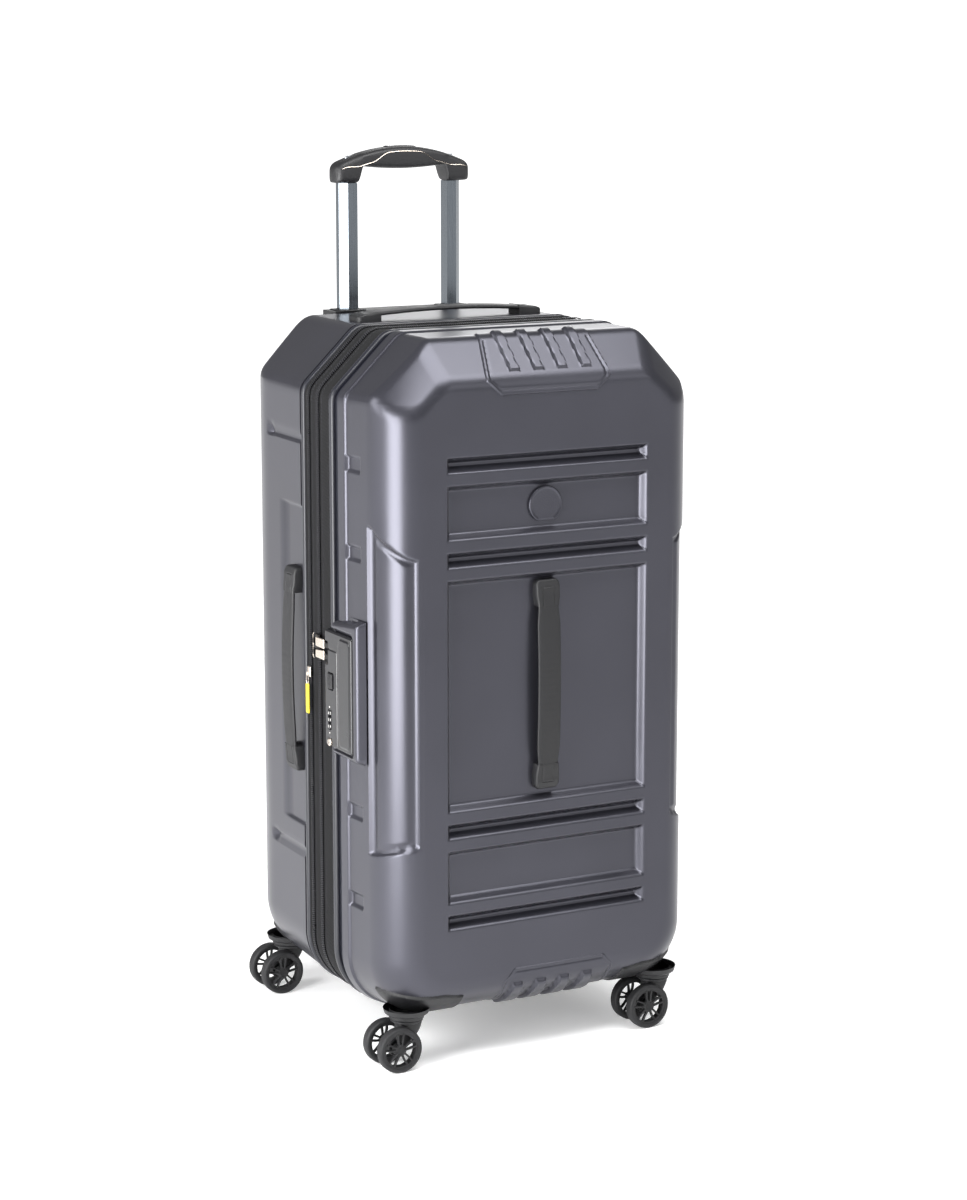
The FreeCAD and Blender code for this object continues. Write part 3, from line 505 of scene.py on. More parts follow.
def faceRelief(x, z):
    # how deep the face is pressed in: a smooth wall that starts at each recess's outline
    deep = np.zeros(np.broadcast(x, z).shape)
    for z0, z1, kind in faceRows():
        inside = -box2(x, z, -facePattern["half"], facePattern["half"], z0, z1)
        deep = np.maximum(deep, facePattern["deep"] * smoothStep(inside / facePattern["wall"]))
    return deep


sideRelief = {"stripFrom": 96.0, "stripStep": 2.0, "guardDeep": 4.5, "guardLow": 235.0, "guardHigh": 602.0,
              "guardX": 157.0}


def frontRelief(points):
    # pressed in: the zone beside the rim strip, its notches, and the two long corner panels
    x, y, z = np.abs(points[..., 0]), points[..., 1], points[..., 2]
    strip = smoothStep((y - sideRelief["stripFrom"] + 1.5) / 3.0)
    deep = -sideRelief["stripStep"] * strip
    slant = np.clip((50 - y) / 50, 0, 1)
    top = sideRelief["guardHigh"] - 34 * slant
    bottom = sideRelief["guardLow"] + 4 + 14 * slant ** 2
    outline = np.maximum(np.maximum(sideRelief["guardX"] - x, y - 53), np.maximum(z - top, bottom - z))
    groove = smoothStep(-outline / 4.0)
    lip = smoothStep((outline + 12) / 4.0) * smoothStep(-outline / 4.0)
    deep = deep + sideRelief["guardDeep"] * (0.62 * groove + 0.38 * lip)
    onSide = smoothStep((x - 172) / 8)
    for low, high in ((654, 673), (558, 576), (272, 290), (172, 190)):
        notch = -box2(y, z, 66.0, 97.0, low, high)
        deep = deep + onSide * 2.6 * smoothStep(notch / 3.5)
    return deep


def backRelief(points):
    # the back half's side panels: a long recess and the cross grooves above and below it
    x, y, z = np.abs(points[..., 0]), points[..., 1], points[..., 2]
    rim = caseBack - backRim
    deep = -0.6 * smoothStep((y - rim + 4) / 2.0)
    onSide = smoothStep((x - 178) / 8)
    panel = -box2(y, z, rim - 56, rim + 30, 234, 602)
    deep = deep + onSide * 2.4 * smoothStep(panel / 4.0)
    for low, high in ((670, 683), (198, 211)):
        groove = -box2(y, z, rim - 95, rim + 30, low, high)
        deep = deep + onSide * 2.2 * smoothStep(groove / 4.0)
        pocket = -box2(y, z, rim - 95, rim - 82, low - 1, high + 1)
        deep = deep + onSide * 2.2 * smoothStep(pocket / 2.5)
    backPanel = -box2(points[..., 0], z, -104, 104, 250, 640)
    onBack = smoothStep((20 - y) / 10)
    deep = deep + onBack * 2.4 * smoothStep(backPanel / 6.0)
    for k in range(4):
        bar = -box2(points[..., 0], z, -124, 124, 120 + 30 * k, 134 + 30 * k)
        deep = deep + onBack * 3.0 * smoothStep(bar / 5.0)
    return deep


def pressed(points, rim, back, relief):
    return points - slopeOf(points, rim, back) * relief(points)[..., None]


def facingBack(parts):  # parts made with their face at y = 0, turned to face backwards
    flipped = []
    for points, faces in parts:
        points = np.array(points)
        points[..., 1] = caseBack - points[..., 1]
        flipped.append((points, faces))
    return flipped


recessWalls = [z for z0, z1, k in faceRows() for z in (z0 + 4, z1 - 4)]
zLines = linesThrough(patch["low"], patch["high"], 5.0, recessWalls, 1.3, 5.2)
sideWalls = [655, 672, 559, 575, 273, 289, 173, 189, 600, 237]
zLines = np.unique(np.concatenate([zLines, linesThrough(150, 700, 60, sideWalls, 1.6, 4.8)]))
zLines = zLines[np.concatenate([[True], np.diff(zLines) > 0.5])]
xLines = linesThrough(-patch["half"], patch["half"], 9.0, [-facePattern["half"] + 4, facePattern["half"] - 4],
                      1.3, 5.2)


# the wall at the rim, and how far in the plain inner wall lies
shellWall = {"thick": 3.0, "lip": 9.0, "inside": 13.2}


def wholeShell(rim, back, relief, faceDepth):
    # one shell: patch and skin outside, a plain wall further in, and the rim's edge between them
    starts, outs = loopStations(zLines, xLines, 26)
    sideLines = linesThrough(pivotIn, rim, 7.0, [] if back else [65.0, 69.0, 96.0], 1.2, 3.6)[::-1]
    margin = np.linspace(1, 0, 14)[1:]
    skin = skinGrid(starts, outs, rim, back, sideLines, 34, margin)
    skin = pressed(skin, rim, back, relief)
    gx, gz = np.meshgrid(xLines, zLines)
    face = np.stack([gx, faceDepth(gx, gz), gz], -1)
    inner = skinGrid(starts, outs, rim, back, [rim - shellWall["lip"], rim - 30, rim - 50], 8, [0.5, 0.0],
                     shellWall["inside"])
    rimOuter = skin[0]
    rimInner = rimOuter - slopeOf(rimOuter, rim, back) * shellWall["thick"]
    lip = rimInner.copy()
    lip[:, 1] = rim - shellWall["lip"]
    n = len(starts)
    parts = [(skin, gridFaces(len(skin), n, False, True)), (face, gridFaces(len(zLines), len(xLines))),
             (np.stack([rimOuter, rimInner, lip, inner[0]]), gridFaces(4, n, False, True)),
             (inner, gridFaces(len(inner), n, False, True))]
    parts.append(capOf(inner[-1]))
    return facingBack(parts) if back else parts


def backFace(x, z):
    return backRelief(np.stack([x, x * 0, z], -1))


makePiece("frontShell", wholeShell(frontRim, False, frontRelief, faceRelief), "lid", shellSmooth,
          ["front_shell"],
          closed=False)
makePiece("backShell", wholeShell(caseBack - backRim, True, backRelief, backFace), "case_back", shellSmooth,
          ["back_shell"], closed=False)
print("shells made")


# pads that lie on the front shell: guards and caster covers
padSunk = 0.9   # how far a pad's hem lies under the skin


def padOnShell(xs, zs, outs, rim, back, height, sideLines, fanSteps, margin):
    # the shell's skin again, lifted by height(points) inside the pad and sunk just under it outside
    skin = skinGrid(np.stack([xs, zs], -1).astype(float), outs, rim, back, sideLines, fanSteps, margin)
    lift = height(skin) - padSunk
    return skin + slopeOf(skin, rim, back) * lift[..., None]


topGuard = {"lowHalf": 59.0, "highHalf": 77.0, "low": 737.0, "knee": 753.0, "proud": 1.9, "rib": 3.4,
            "ribWide": 13.0,
            "ribs": (-41.5, -12.0, 17.5, 47.0)}


def topGuardHeight(points):
    x, y, z = points[..., 0], points[..., 1], points[..., 2]
    high = np.clip((z - topGuard["low"]) / (topGuard["knee"] - topGuard["low"]), 0, 1)
    half = topGuard["lowHalf"] + (topGuard["highHalf"] - topGuard["lowHalf"]) * high
    half = half - 9 * np.clip((z - 760) / 40, 0, 1)
    outline = np.maximum(np.abs(x) - half, np.maximum(topGuard["low"] - z, y - 47))
    lift = (topGuard["proud"] + padSunk) * smoothStep(-outline / 2.4)
    lift = lift - 0.9 * smoothStep(1 - np.abs(outline + 6.5) / 2.0) * (z < 792)
    for centre in topGuard["ribs"]:
        rib = np.maximum(np.abs(x - centre + 0.1 * (z - 775)) - topGuard["ribWide"] / 2,
                         np.maximum(761 - z, y - 44))
        lift = lift + topGuard["rib"] * smoothStep(-rib / 1.9)
    return lift


def edgeGuard(name, node, xs, z, outZ, height, sideLine, fanSteps, rows):
    outs = np.broadcast_to([0.0, outZ], (len(xs), 2))
    skin = padOnShell(xs, np.full(len(xs), z), outs, frontRim, False, height, [sideLine], fanSteps,
                      np.linspace(1, 0, rows)[1:])
    makePiece(name, [(skin, gridFaces(*skin.shape[:2]))], "lid", guardSkin, [node], closed=False)


edgeGuard("topGuard", "top_guard", linesThrough(-84, 84, 1.3), patch["high"], 1.0, topGuardHeight, 66.0, 90,
          10)

bottomGuard = {"left": -56.0, "right": 86.0, "high": 104.0, "proud": 0.7, "bump": 4.2,
               "bumps": (-36.0, -6.5, 23.0, 52.5), "bumpHalf": 11.0}


def bottomGuardHeight(points):
    x, y, z = points[..., 0], points[..., 1], points[..., 2]
    middle = (bottomGuard["left"] + bottomGuard["right"]) / 2
    half = (bottomGuard["right"] - bottomGuard["left"]) / 2
    cut = np.clip((z - 88) / 16, 0, 1) * 14
    outline = np.maximum(np.abs(x - middle) - half + cut, np.maximum(z - bottomGuard["high"], y - 52))
    lift = (bottomGuard["proud"] + padSunk) * smoothStep(-outline / 2.0)
    lift = lift - 0.9 * smoothStep(1 - np.abs(outline + 5.0) / 1.8)
    for centre in bottomGuard["bumps"]:
        taper = bottomGuard["bumpHalf"] * (1 - 0.35 * np.clip((z - 66) / 18, 0, 1))
        bump = np.maximum(np.abs(x - centre) - taper, np.maximum(z - 86, y - 46))
        lift = lift + bottomGuard["bump"] * smoothStep(-bump / 2.6)
    return lift


edgeGuard("bottomGuard", "bottom_guard", linesThrough(-66, 96, 1.4)[::-1], patch["low"], -1.0,
          bottomGuardHeight, 64.0, 60, 16)

# blank round badge: a dished disc with a rolled edge and a flat cut along its foot
badge = {"radius": 20.5, "proud": 4.2, "flat": 17.6}
badgeBox = caseBox("badge")
badgeCentre = np.array([0.0, badgeBox[1][1], (badgeBox[0][2] + badgeBox[1][2]) / 2 - 1.4])
r = np.array([0.0, 0.45, 0.78, 0.84, 0.87, 0.9, 0.95, 0.985, 1.0, 1.0]) * badge["radius"]
h = np.array([0.8, 0.8, 0.84, 0.85, 0.93, 1.0, 1.0, 0.93, 0.72, -0.1]) * badge["proud"]
(disc, faces), = turned(np.stack([r, h], -1), badgeCentre, (0, -1, 0), 72)
footLine = badgeCentre[2] - badge["flat"] * np.clip(r / badge["radius"], 0, 1)
disc[..., 2] = np.maximum(disc[..., 2], footLine[:, None])
makePiece("badge", [(disc, faces)], "lid", shellGrained, ["badge"], closed=False, sharp=60)
print("guards and badge made")


# piping, tapes and zip coils, all carried round the rims' outline
rimRound = 24.0


def rimOutline():
    # a dense closed line: up the right side, over the cut corners and the top, down the left, along the foot
    cx, cz, low, r = mould["chamferX"], mould["chamferZ"], 45.0, 70.0
    corners = [(caseHalf, low, r), (caseHalf, caseTop - cz, rimRound), (caseHalf - cx, caseTop, rimRound),
               (cx - caseHalf, caseTop, rimRound), (-caseHalf, caseTop - cz, rimRound), (-caseHalf, low, r)]
    points = []
    for k, (x, z, radius) in enumerate(corners):
        before = np.array(corners[k - 1][:2]) - (x, z)
        after = np.array(corners[(k + 1) % 6][:2]) - (x, z)
        before, after = unit(before), unit(after)
        angle = math.acos(np.clip(before @ after, -1, 1))
        reach = radius / math.tan(angle / 2)
        bisector = unit(before + after)
        centre = np.array([x, z]) + bisector * radius / math.sin(angle / 2)
        first, last = np.array([x, z]) + before * reach, np.array([x, z]) + after * reach
        a0 = math.atan2(*(first - centre)[::-1])
        a1 = math.atan2(*(last - centre)[::-1])
        turn = (a1 - a0 + math.pi) % (2 * math.pi) - math.pi
        sweepAngle = a0 + turn * np.linspace(0, 1, 40)
        points.append(centre + radius * np.stack([np.cos(sweepAngle), np.sin(sweepAngle)], -1))
    line = np.concatenate(points)
    return np.concatenate([line, line[:1]])


rimLine = rimOutline()
rimLength = np.concatenate([[0], np.cumsum(np.linalg.norm(np.diff(rimLine, axis=0), axis=1))])


def alongRim(s, y):
    # place, across (back) and outward direction at distances s along the outline
    s = np.mod(s, rimLength[-1])
    def at(t):
        t = np.mod(t, rimLength[-1])
        return np.stack([np.interp(t, rimLength, rimLine[:, 0]), np.interp(t, rimLength, rimLine[:, 1])], -1)
    here, ahead, behind = at(s), at(s + 1.5), at(s - 1.5)
    way = unit(ahead - behind)
    centre = np.stack([here[:, 0], np.full(len(s), float(y)), here[:, 1]], -1)
    across = always([0.0, 1.0, 0.0], len(s))
    out = np.stack([way[:, 1], np.zeros(len(s)), -way[:, 0]], -1)
    if (out[0] * centre[0])[0] < 0:
        out = -out
    return centre, across, out


def ringOf(y, profile, spacing=6.0):  # a profile carried once round the rims' outline
    stations = np.linspace(0, rimLength[-1], int(rimLength[-1] / spacing), endpoint=False)
    return sweep(alongRim(stations, y), repeated(profile, len(stations)), closedPath=True)


def ovalProfile(wide, high, centreV, power=2.0, count=16):
    a = aroundLoop(count)
    c, s = np.cos(a), np.sin(a)
    return np.stack([squared(c, 2 / power) * wide / 2, centreV + squared(s, 2 / power) * high / 2], -1)


band = {
    "beadFront": 129.0, "beadBack": 201.5, "bead": 9.0, "coil": 163.0, "coilBack": 187.0, "tapeV": -2.6,
    "tapeThick": 1.0, "coilPitch": 2.6, "stitchV": -2.25,
    # each tape's front edge, back edge and the y its ring is drawn about
    "frontChannel": (110.0, 126.0, 118.0), "lidTape": (131.0, 161.2, 146.0),
    "middleTape": (164.8, 185.2, 175.0),
    "backTape": (188.8, 200.0, 194.0), "backChannel": (203.0, 209.0, 205.0),
}


def tapeRing(place, v=band["tapeV"], thick=band["tapeThick"], crown=0.5, count=9):
    # a flat woven band, very slightly crowned: outer face one way, inner face back
    front, back, middle = place
    u = np.linspace(front - middle, back - middle, count)
    bulge = crown * (1 - ((u - u.mean()) / (u[-1] - u.mean())) ** 2)
    outer = np.stack([u, v + bulge], -1)
    inner = np.stack([u[::-1], np.full(count, v - thick)], -1)
    return ringOf(middle, np.concatenate([outer, inner]))


def scattered(seats, along, across, out, local):
    # copies of one small closed-sided grid, local in (along, across, out), set at every seat
    along, across, out = along[:, None, None], across[:, None, None], out[:, None, None]
    points = seats[:, None, None] + along * local[..., :1] + across * local[..., 1:2] + out * local[..., 2:]
    one = gridFaces(*local.shape[:2], False, True)
    starts = np.arange(len(seats)) * local.shape[0] * local.shape[1]
    return points.reshape(-1, 3), (one[None] + starts[:, None, None]).reshape(-1, 4)


def coilTeeth(y, side, hingeSide=True, pitch=band["coilPitch"]):
    # one side of a zip's coil: small stretched balls, half a pitch apart from the other side's
    count = int(rimLength[-1] / pitch)
    s = (np.arange(count) + (0.5 if side > 0 else 0.0)) * rimLength[-1] / count
    centre, across, out = alongRim(s, y)
    if hingeSide:
        alongHinge = (centre[:, 2] > hingeLow - 10) & (centre[:, 2] < hingeHigh + 10)
        kept = ~(alongHinge & (centre[:, 0] > caseHalf - 12))
        centre, across, out = centre[kept], across[kept], out[kept]
    a = aroundLoop(6)
    rise = np.array([-1.2, -0.45, 0.45, 1.2])[:, None]
    ball = np.stack([np.cos(rise) * np.cos(a) * 0.72, np.sin(rise) * np.ones(6) * 1.55,
                     np.cos(rise) * np.sin(a) * 0.85], -1)
    return scattered(centre + across * side * 1.75 + out * -1.2, np.cross(across, out), across, out, ball)


def stitches(y, v, pitch=4.2, long=2.6):
    # lockstitch thread: flat lozenges lying along the outline
    count = int(rimLength[-1] / pitch)
    s = np.arange(count) * rimLength[-1] / count
    centre, across, out = alongRim(s, y)
    ends = np.array([-1, -0.6, 0.6, 1])[:, None] * long / 2
    thick = np.array([0.15, 0.5, 0.5, 0.15])[:, None]
    a = aroundLoop(5)
    lozenge = np.stack([ends * np.ones(5), thick * np.cos(a) * 0.8, thick * np.sin(a) * 0.7], -1)
    return scattered(centre + out * v, np.cross(across, out), across, out, lozenge)


hingeBox = caseBox("hinge_tape")
hingeLow, hingeHigh = hingeBox[0][2], hingeBox[1][2]
threadGrey = wovenCloth("polyester sewing thread", "#26262b", "#3a3a40", 0.6, 0.1, 0.7, 0.2)

# front: a black channel behind the rim, the bead, then the lid's tape with its half of the coil
bead = ovalProfile(band["bead"], 7.4, -3.3, 2.3)
frontPiping = tapeRing(band["frontChannel"], -4.6, 2.5, 0.0) + ringOf(band["beadFront"], bead)
makePiece("frontPiping", frontPiping, "lid", pipingBlack, ["front_rim_trim"])
makePiece("lidTape", tapeRing(band["lidTape"]), "lid", tapeCloth, ["front_zip_half"])
makePiece("lidCoil", [coilTeeth(band["coil"], -1)], "lid", coilNylon)
lidStitches = [stitches(136.5, band["stitchV"]), stitches(154.5, band["stitchV"])]
makePiece("lidStitching", lidStitches, "lid", threadGrey)
# middle band between the two zips
makePiece("bandTape", tapeRing(band["middleTape"]), "zip_band", tapeCloth, ["band_zip"])
makePiece("bandCoil", [coilTeeth(band["coil"], 1)], "zip_band", coilNylon)
makePiece("expansionCoilFront", [coilTeeth(band["coilBack"], -1, False, 2.3)], "zip_band", coilNylon)
bandStitches = [stitches(170.5, band["stitchV"]), stitches(179.5, band["stitchV"])]
makePiece("bandStitching", bandStitches, "zip_band", threadGrey)
# back: tape, coil half and bead
makePiece("backTape", tapeRing(band["backTape"]), "case_back", tapeCloth, ["back_zip_half"])
makePiece("expansionCoilBack", [coilTeeth(band["coilBack"], 1, False, 2.3)], "case_back", coilNylon)
backBead = ovalProfile(7.6, 6.8, -3.2, 2.3)
backPiping = ringOf(band["beadBack"], backBead) + tapeRing(band["backChannel"], -4.6, 2.0, 0.0)
makePiece("backPiping", backPiping, "case_back", pipingBlack, ["back_rim_trim"])
print("zip band made")


# folded cloth behind the expansion zip: three soft pleats
def pleats(y0, y1, v, folds, deep, count=31):
    t = np.linspace(0, 1, count)
    u = y0 + (y1 - y0) * t
    lift = v - deep * 0.5 * (1 - np.cos(2 * math.pi * folds * t))
    outer = np.stack([u - 192.0, lift], -1)
    return np.concatenate([outer, (outer - [0, 0.9])[::-1]])


gussetFolds = ringOf(192.0, pleats(182.0, 203.0, -9.6, 3, 5.0), 9.0)
gussetPiece = makePiece("gusset", gussetFolds, None, liningCloth, ["gusset"])
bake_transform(gussetPiece)

# cloth hinge on the right: a strip sewn to the lid's tape and to the band
hinge = {"y0": 140.0, "y1": 181.0, "x": caseHalf - 2.35, "bow": 0.5}
ty, tz = np.meshgrid(np.linspace(0, 1, 29), np.linspace(0, 1, 60))
y = hinge["y0"] + (hinge["y1"] - hinge["y0"]) * ty
x = hinge["x"] + hinge["bow"] * np.sin(math.pi * ty) + 0.12 * np.sin(tz * 90)
z = hingeLow + (hingeHigh - hingeLow) * tz
strip = np.stack([x, y, z], -1)
stripThick = np.array([0.9, 0, 0])
rim = borderOf(strip)
stripParts = [(strip, gridFaces(60, 29)), (strip - stripThick, gridFaces(60, 29)),
              (np.stack([rim, rim - stripThick]), gridFaces(2, len(rim), False, True))]
hingeStrip = makePiece("hingeStrip", stripParts, None, tapeCloth, ["hinge_tape"])
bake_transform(hingeStrip)
print("gusset and hinge made")


# carry handles: two moulded end blocks and a bowed rubber grip, built lying along w and standing out along u
handle = {"long": 234.0, "wide": 29.0, "block": 42.0, "high": 11.0, "neck": 12.6, "grip": 16.0, "thick": 5.0,
          "edge": 2.6, "seam": 0.7}


def handleFrames():  # each handle's two bodies, its seat, and which way it stands out and runs
    front, side, top = [caseBox(name + "_handle_ends") for name in ("front", "side", "top")]
    frontSeat = np.array([0, front[1][1], front.mean(0)[2]])
    sideSeat = np.array([side[1][0], side.mean(0)[1], side.mean(0)[2]])
    topSeat = np.array([0, top.mean(0)[1], top[0][2]])
    return {
        "front": ("lid", "front_handle", frontSeat, (0, -1, 0), (0, 0, 1)),
        "side": ("case_back", "side_handle", sideSeat, (-1, 0, 0), (0, 0, 1)),
        "top": ("case_back", "top_handle", topSeat, (0, 0, 1), (1, 0, 0)),
    }


def intoPlace(points, seat, outward, along):
    # (u, v, w) to the case: seat + outward * u + across * v + along * w
    outward, along = np.array(outward, float), np.array(along, float)
    across = np.cross(along, outward)
    return seat + points[..., :1] * outward + points[..., 1:2] * across + points[..., 2:] * along


def handleBlock(sign):
    # height over width and length: rounded shoulders, a U-shaped seam, a narrower tongue at the grip
    half, wide = handle["long"] / 2, handle["wide"] / 2
    t = np.concatenate([np.linspace(0, 0.12, 9), np.linspace(0.14, 1, 40)])
    v = np.concatenate([np.linspace(-1, -0.72, 9), np.linspace(-0.68, 0.68, 25), np.linspace(0.72, 1, 9)])
    tg, vg = np.meshgrid(t, v, indexing="ij")
    length = handle["block"] - 13.0
    w = half - length * tg
    taper = 1 - 0.10 * smoothStep((tg - 0.55) / 0.45)
    corner = quarterRound((6 - (half - w)) / 6)
    across = vg * (wide - 6 + 6 * corner) * taper
    sideDrop = quarterRound((np.abs(vg) * wide - (wide - handle["edge"])) / handle["edge"])
    endDrop = quarterRound((handle["edge"] - (half - w)) / handle["edge"])
    neck = handle["neck"] - handle["high"]
    top = handle["high"] - 2.5 * (1 - smoothStep(tg / 0.35)) + neck * smoothStep((tg - 0.4) / 0.6)
    inU = np.abs(np.maximum(np.abs(across) - (wide - 7.5), w - (half - 8.5)))
    seam = handle["seam"] * smoothStep(1 - inU / 0.9)
    u = (top - handle["edge"]) + handle["edge"] * sideDrop * endDrop - seam
    surface = np.stack([u, across, sign * w], -1)
    return [(surface, gridFaces(*u.shape)), skirt(surface, 0.0)]


def handleGrip():
    # a rounded flat section along an arc, a little wider in the middle and tucked into its blocks
    reach = handle["long"] / 2 - handle["block"] + 13.4
    w = np.linspace(-reach, reach, 70)
    share = 1 - (w / reach) ** 2
    outer = handle["neck"] + (handle["grip"] - handle["neck"]) * share - 0.25
    thick = handle["thick"]
    wide = handle["wide"] * (0.86 + 0.12 * smoothStep(share * 2.2)) - 0.6
    a = aroundLoop(36)
    c, s = np.cos(a), np.sin(a)
    v = squared(c, 0.55)
    u = squared(s, 0.7)
    middle = outer - thick / 2
    rib = 0.16 * np.cos(w * 2 * math.pi / 4.0) * (np.abs(w) < 38)
    points = np.stack([middle[:, None] + u[None] * (thick / 2) - rib[:, None] * (u[None] > 0.6),
                       v[None] * wide[:, None] / 2,
                       np.broadcast_to(w[:, None], (len(w), len(a)))], -1)
    return closedTube(points)


for name, (endBody, gripBody, seat, outward, along) in handleFrames().items():
    ends = [(intoPlace(p, seat, outward, along), f) for p, f in handleBlock(1) + handleBlock(-1)]
    held = [(intoPlace(p, seat, outward, along), f) for p, f in handleGrip()]
    makePiece(name + "HandleEnds", ends, endBody, housingBlack, [name + "_handle_ends"])
    makePiece(name + "HandleGrip", held, gripBody, gripRubber, [name + "_handle_grip"])
print("carry handles made")


# telescopic handle: hand grip, push button, and the collars round the tubes
grip = {"half": 86.0, "deep": 30.0, "socket": 56.5, "round": 9.0}
gripBox = caseBox("trolley_grip")
gripY = (gripBox[0][1] + gripBox[1][1]) / 2
gripFoot, gripTop = gripBox[0][2], gripBox[1][2]


def gripTopAt(x):  # an arc: highest in the middle
    return gripFoot + 21 + (gripTop - gripFoot - 21) * (1 - (x / grip["half"]) ** 2)


def handGrip():
    # sections across the bar: a rounded box; its top follows the arc, its foot drops into two sockets
    x = np.unique(np.concatenate([np.linspace(-grip["half"], -grip["half"] + 9, 10),
                                  np.linspace(-77, -50, 22), np.linspace(-49, 49, 50),
                                  np.linspace(50, 77, 22), np.linspace(grip["half"] - 9, grip["half"], 10)]))
    top = gripTopAt(x)
    inSocket = smoothStep((np.abs(x) - (grip["socket"] - 5)) / 7)
    low = (gripFoot + 15.5 + 4.5 * (x / 60) ** 2) * (1 - inSocket) + gripFoot * inSocket
    shrink = quarterRound((np.abs(x) - (grip["half"] - grip["round"])) / grip["round"])
    a = aroundLoop(44)
    c, s = np.cos(a), np.sin(a)
    y = squared(c, 0.55)
    z = squared(s, 0.5)
    deep = grip["deep"] / 2 * (0.35 + 0.65 * shrink)
    middle, half = (top + low) / 2 - 2.0 * (1 - shrink), (top - low) / 2 * (0.72 + 0.28 * shrink)
    points = np.stack([np.broadcast_to(x[:, None], (len(x), len(a))), gripY + y[None] * deep[:, None],
                       middle[:, None] + z[None] * half[:, None]], -1)
    return closedTube(points)


makePiece("handGrip", handGrip(), "trolley_upper", housingBlack, ["trolley_grip"])
buttonBox = caseBox("trolley_button")
bx = np.linspace(-1, 1, 40)
ba = aroundLoop(28)
bc, bs = np.cos(ba), np.sin(ba)
halfButton = (buttonBox[1][0] - buttonBox[0][0]) / 2 - 0.4
bShrink = quarterRound((np.abs(bx) - 0.8) / 0.2)
buttonDeep = (buttonBox[1][1] - buttonBox[0][1]) / 2 * 0.98
by = gripY + squared(bc, 0.5)[None] * buttonDeep * (0.5 + 0.5 * bShrink)[:, None]
bTop = gripTopAt(bx * halfButton) + 1.2
bz = bTop[:, None] - 2.6 + squared(bs, 0.6)[None] * (2.6 * (0.4 + 0.6 * bShrink))[:, None]
buttonPoints = np.stack([np.broadcast_to(bx[:, None] * halfButton, by.shape), by, bz], -1)
makePiece("pushButton", closedTube(buttonPoints),
          "trolley_push", glossBlack, ["trolley_button"])
# a pale inlaid line that bows along the grip's front face
lineX = np.linspace(-80, 80, 90)
dip, climb = smoothStep((np.abs(lineX) - 20) / 22), smoothStep((np.abs(lineX) - 55) / 25)
lineZ = gripTopAt(lineX) - 5.5 - 7.5 * dip + 6.0 * climb
lineY = np.full(90, gripY - grip["deep"] / 2 + 0.05)
lineCentre = np.stack([lineX, lineY, lineZ], -1)
inlay = sweep((lineCentre, always([0, 1, 0], 90), always([0, 0, 1], 90)),
              repeated(ovalProfile(1.0, 0.9, 0, 2, 8), 90))
makePiece("gripLine", inlay, "trolley_upper", platedZinc)
# collars round the tubes where they leave the bezel: four bars round each mouth
collars = []
bezelTop, stageBox = caseBox("trolley_bezel")[1][2], caseBox("trolley_stage_1")
collar = {"middle": 68.0, "halfWide": 17.0, "front": 15.0, "back": 13.0, "proud": 1.6, "room": 0.6,
          "round": 1.0, "mouthWide": 19.2}
low, high = bezelTop - 1.0, bezelTop + collar["proud"]
front, back = gripY - collar["front"], gripY + collar["back"]
mouthFront, mouthBack = stageBox[0][1] - collar["room"], stageBox[1][1] + collar["room"]
for sx in (-1, 1):
    ends = (collar["middle"] - collar["halfWide"], collar["middle"] + collar["halfWide"])
    mouth = (stageBox[1][0] + collar["room"], stageBox[1][0] - collar["mouthWide"] - collar["room"])
    left, right = sorted(sx * x for x in ends)
    mouthLeft, mouthRight = sorted(sx * x for x in mouth)
    bars = (
        (left, right, front, mouthFront), (left, right, mouthBack, back),
        (left, mouthLeft, mouthFront - 1, mouthBack + 1), (mouthRight, right, mouthFront - 1, mouthBack + 1),
    )
    for x0, x1, y0, y1 in bars:
        collars += roundedBox((x0, y0, low), (x1, y1, high), collar["round"])
makePiece("tubeCollars", collars, "case_back", housingBlack)
print("telescopic handle made")


# casters
caster = {"x": 158.0, "inset": 34.5, "trail": 17.4, "axleHigh": 25.5, "neck": 20.6}
wheel = {"radius": 25.5, "wide": 12.0, "rim": 20.6, "round": 2.6, "spokes": 5}


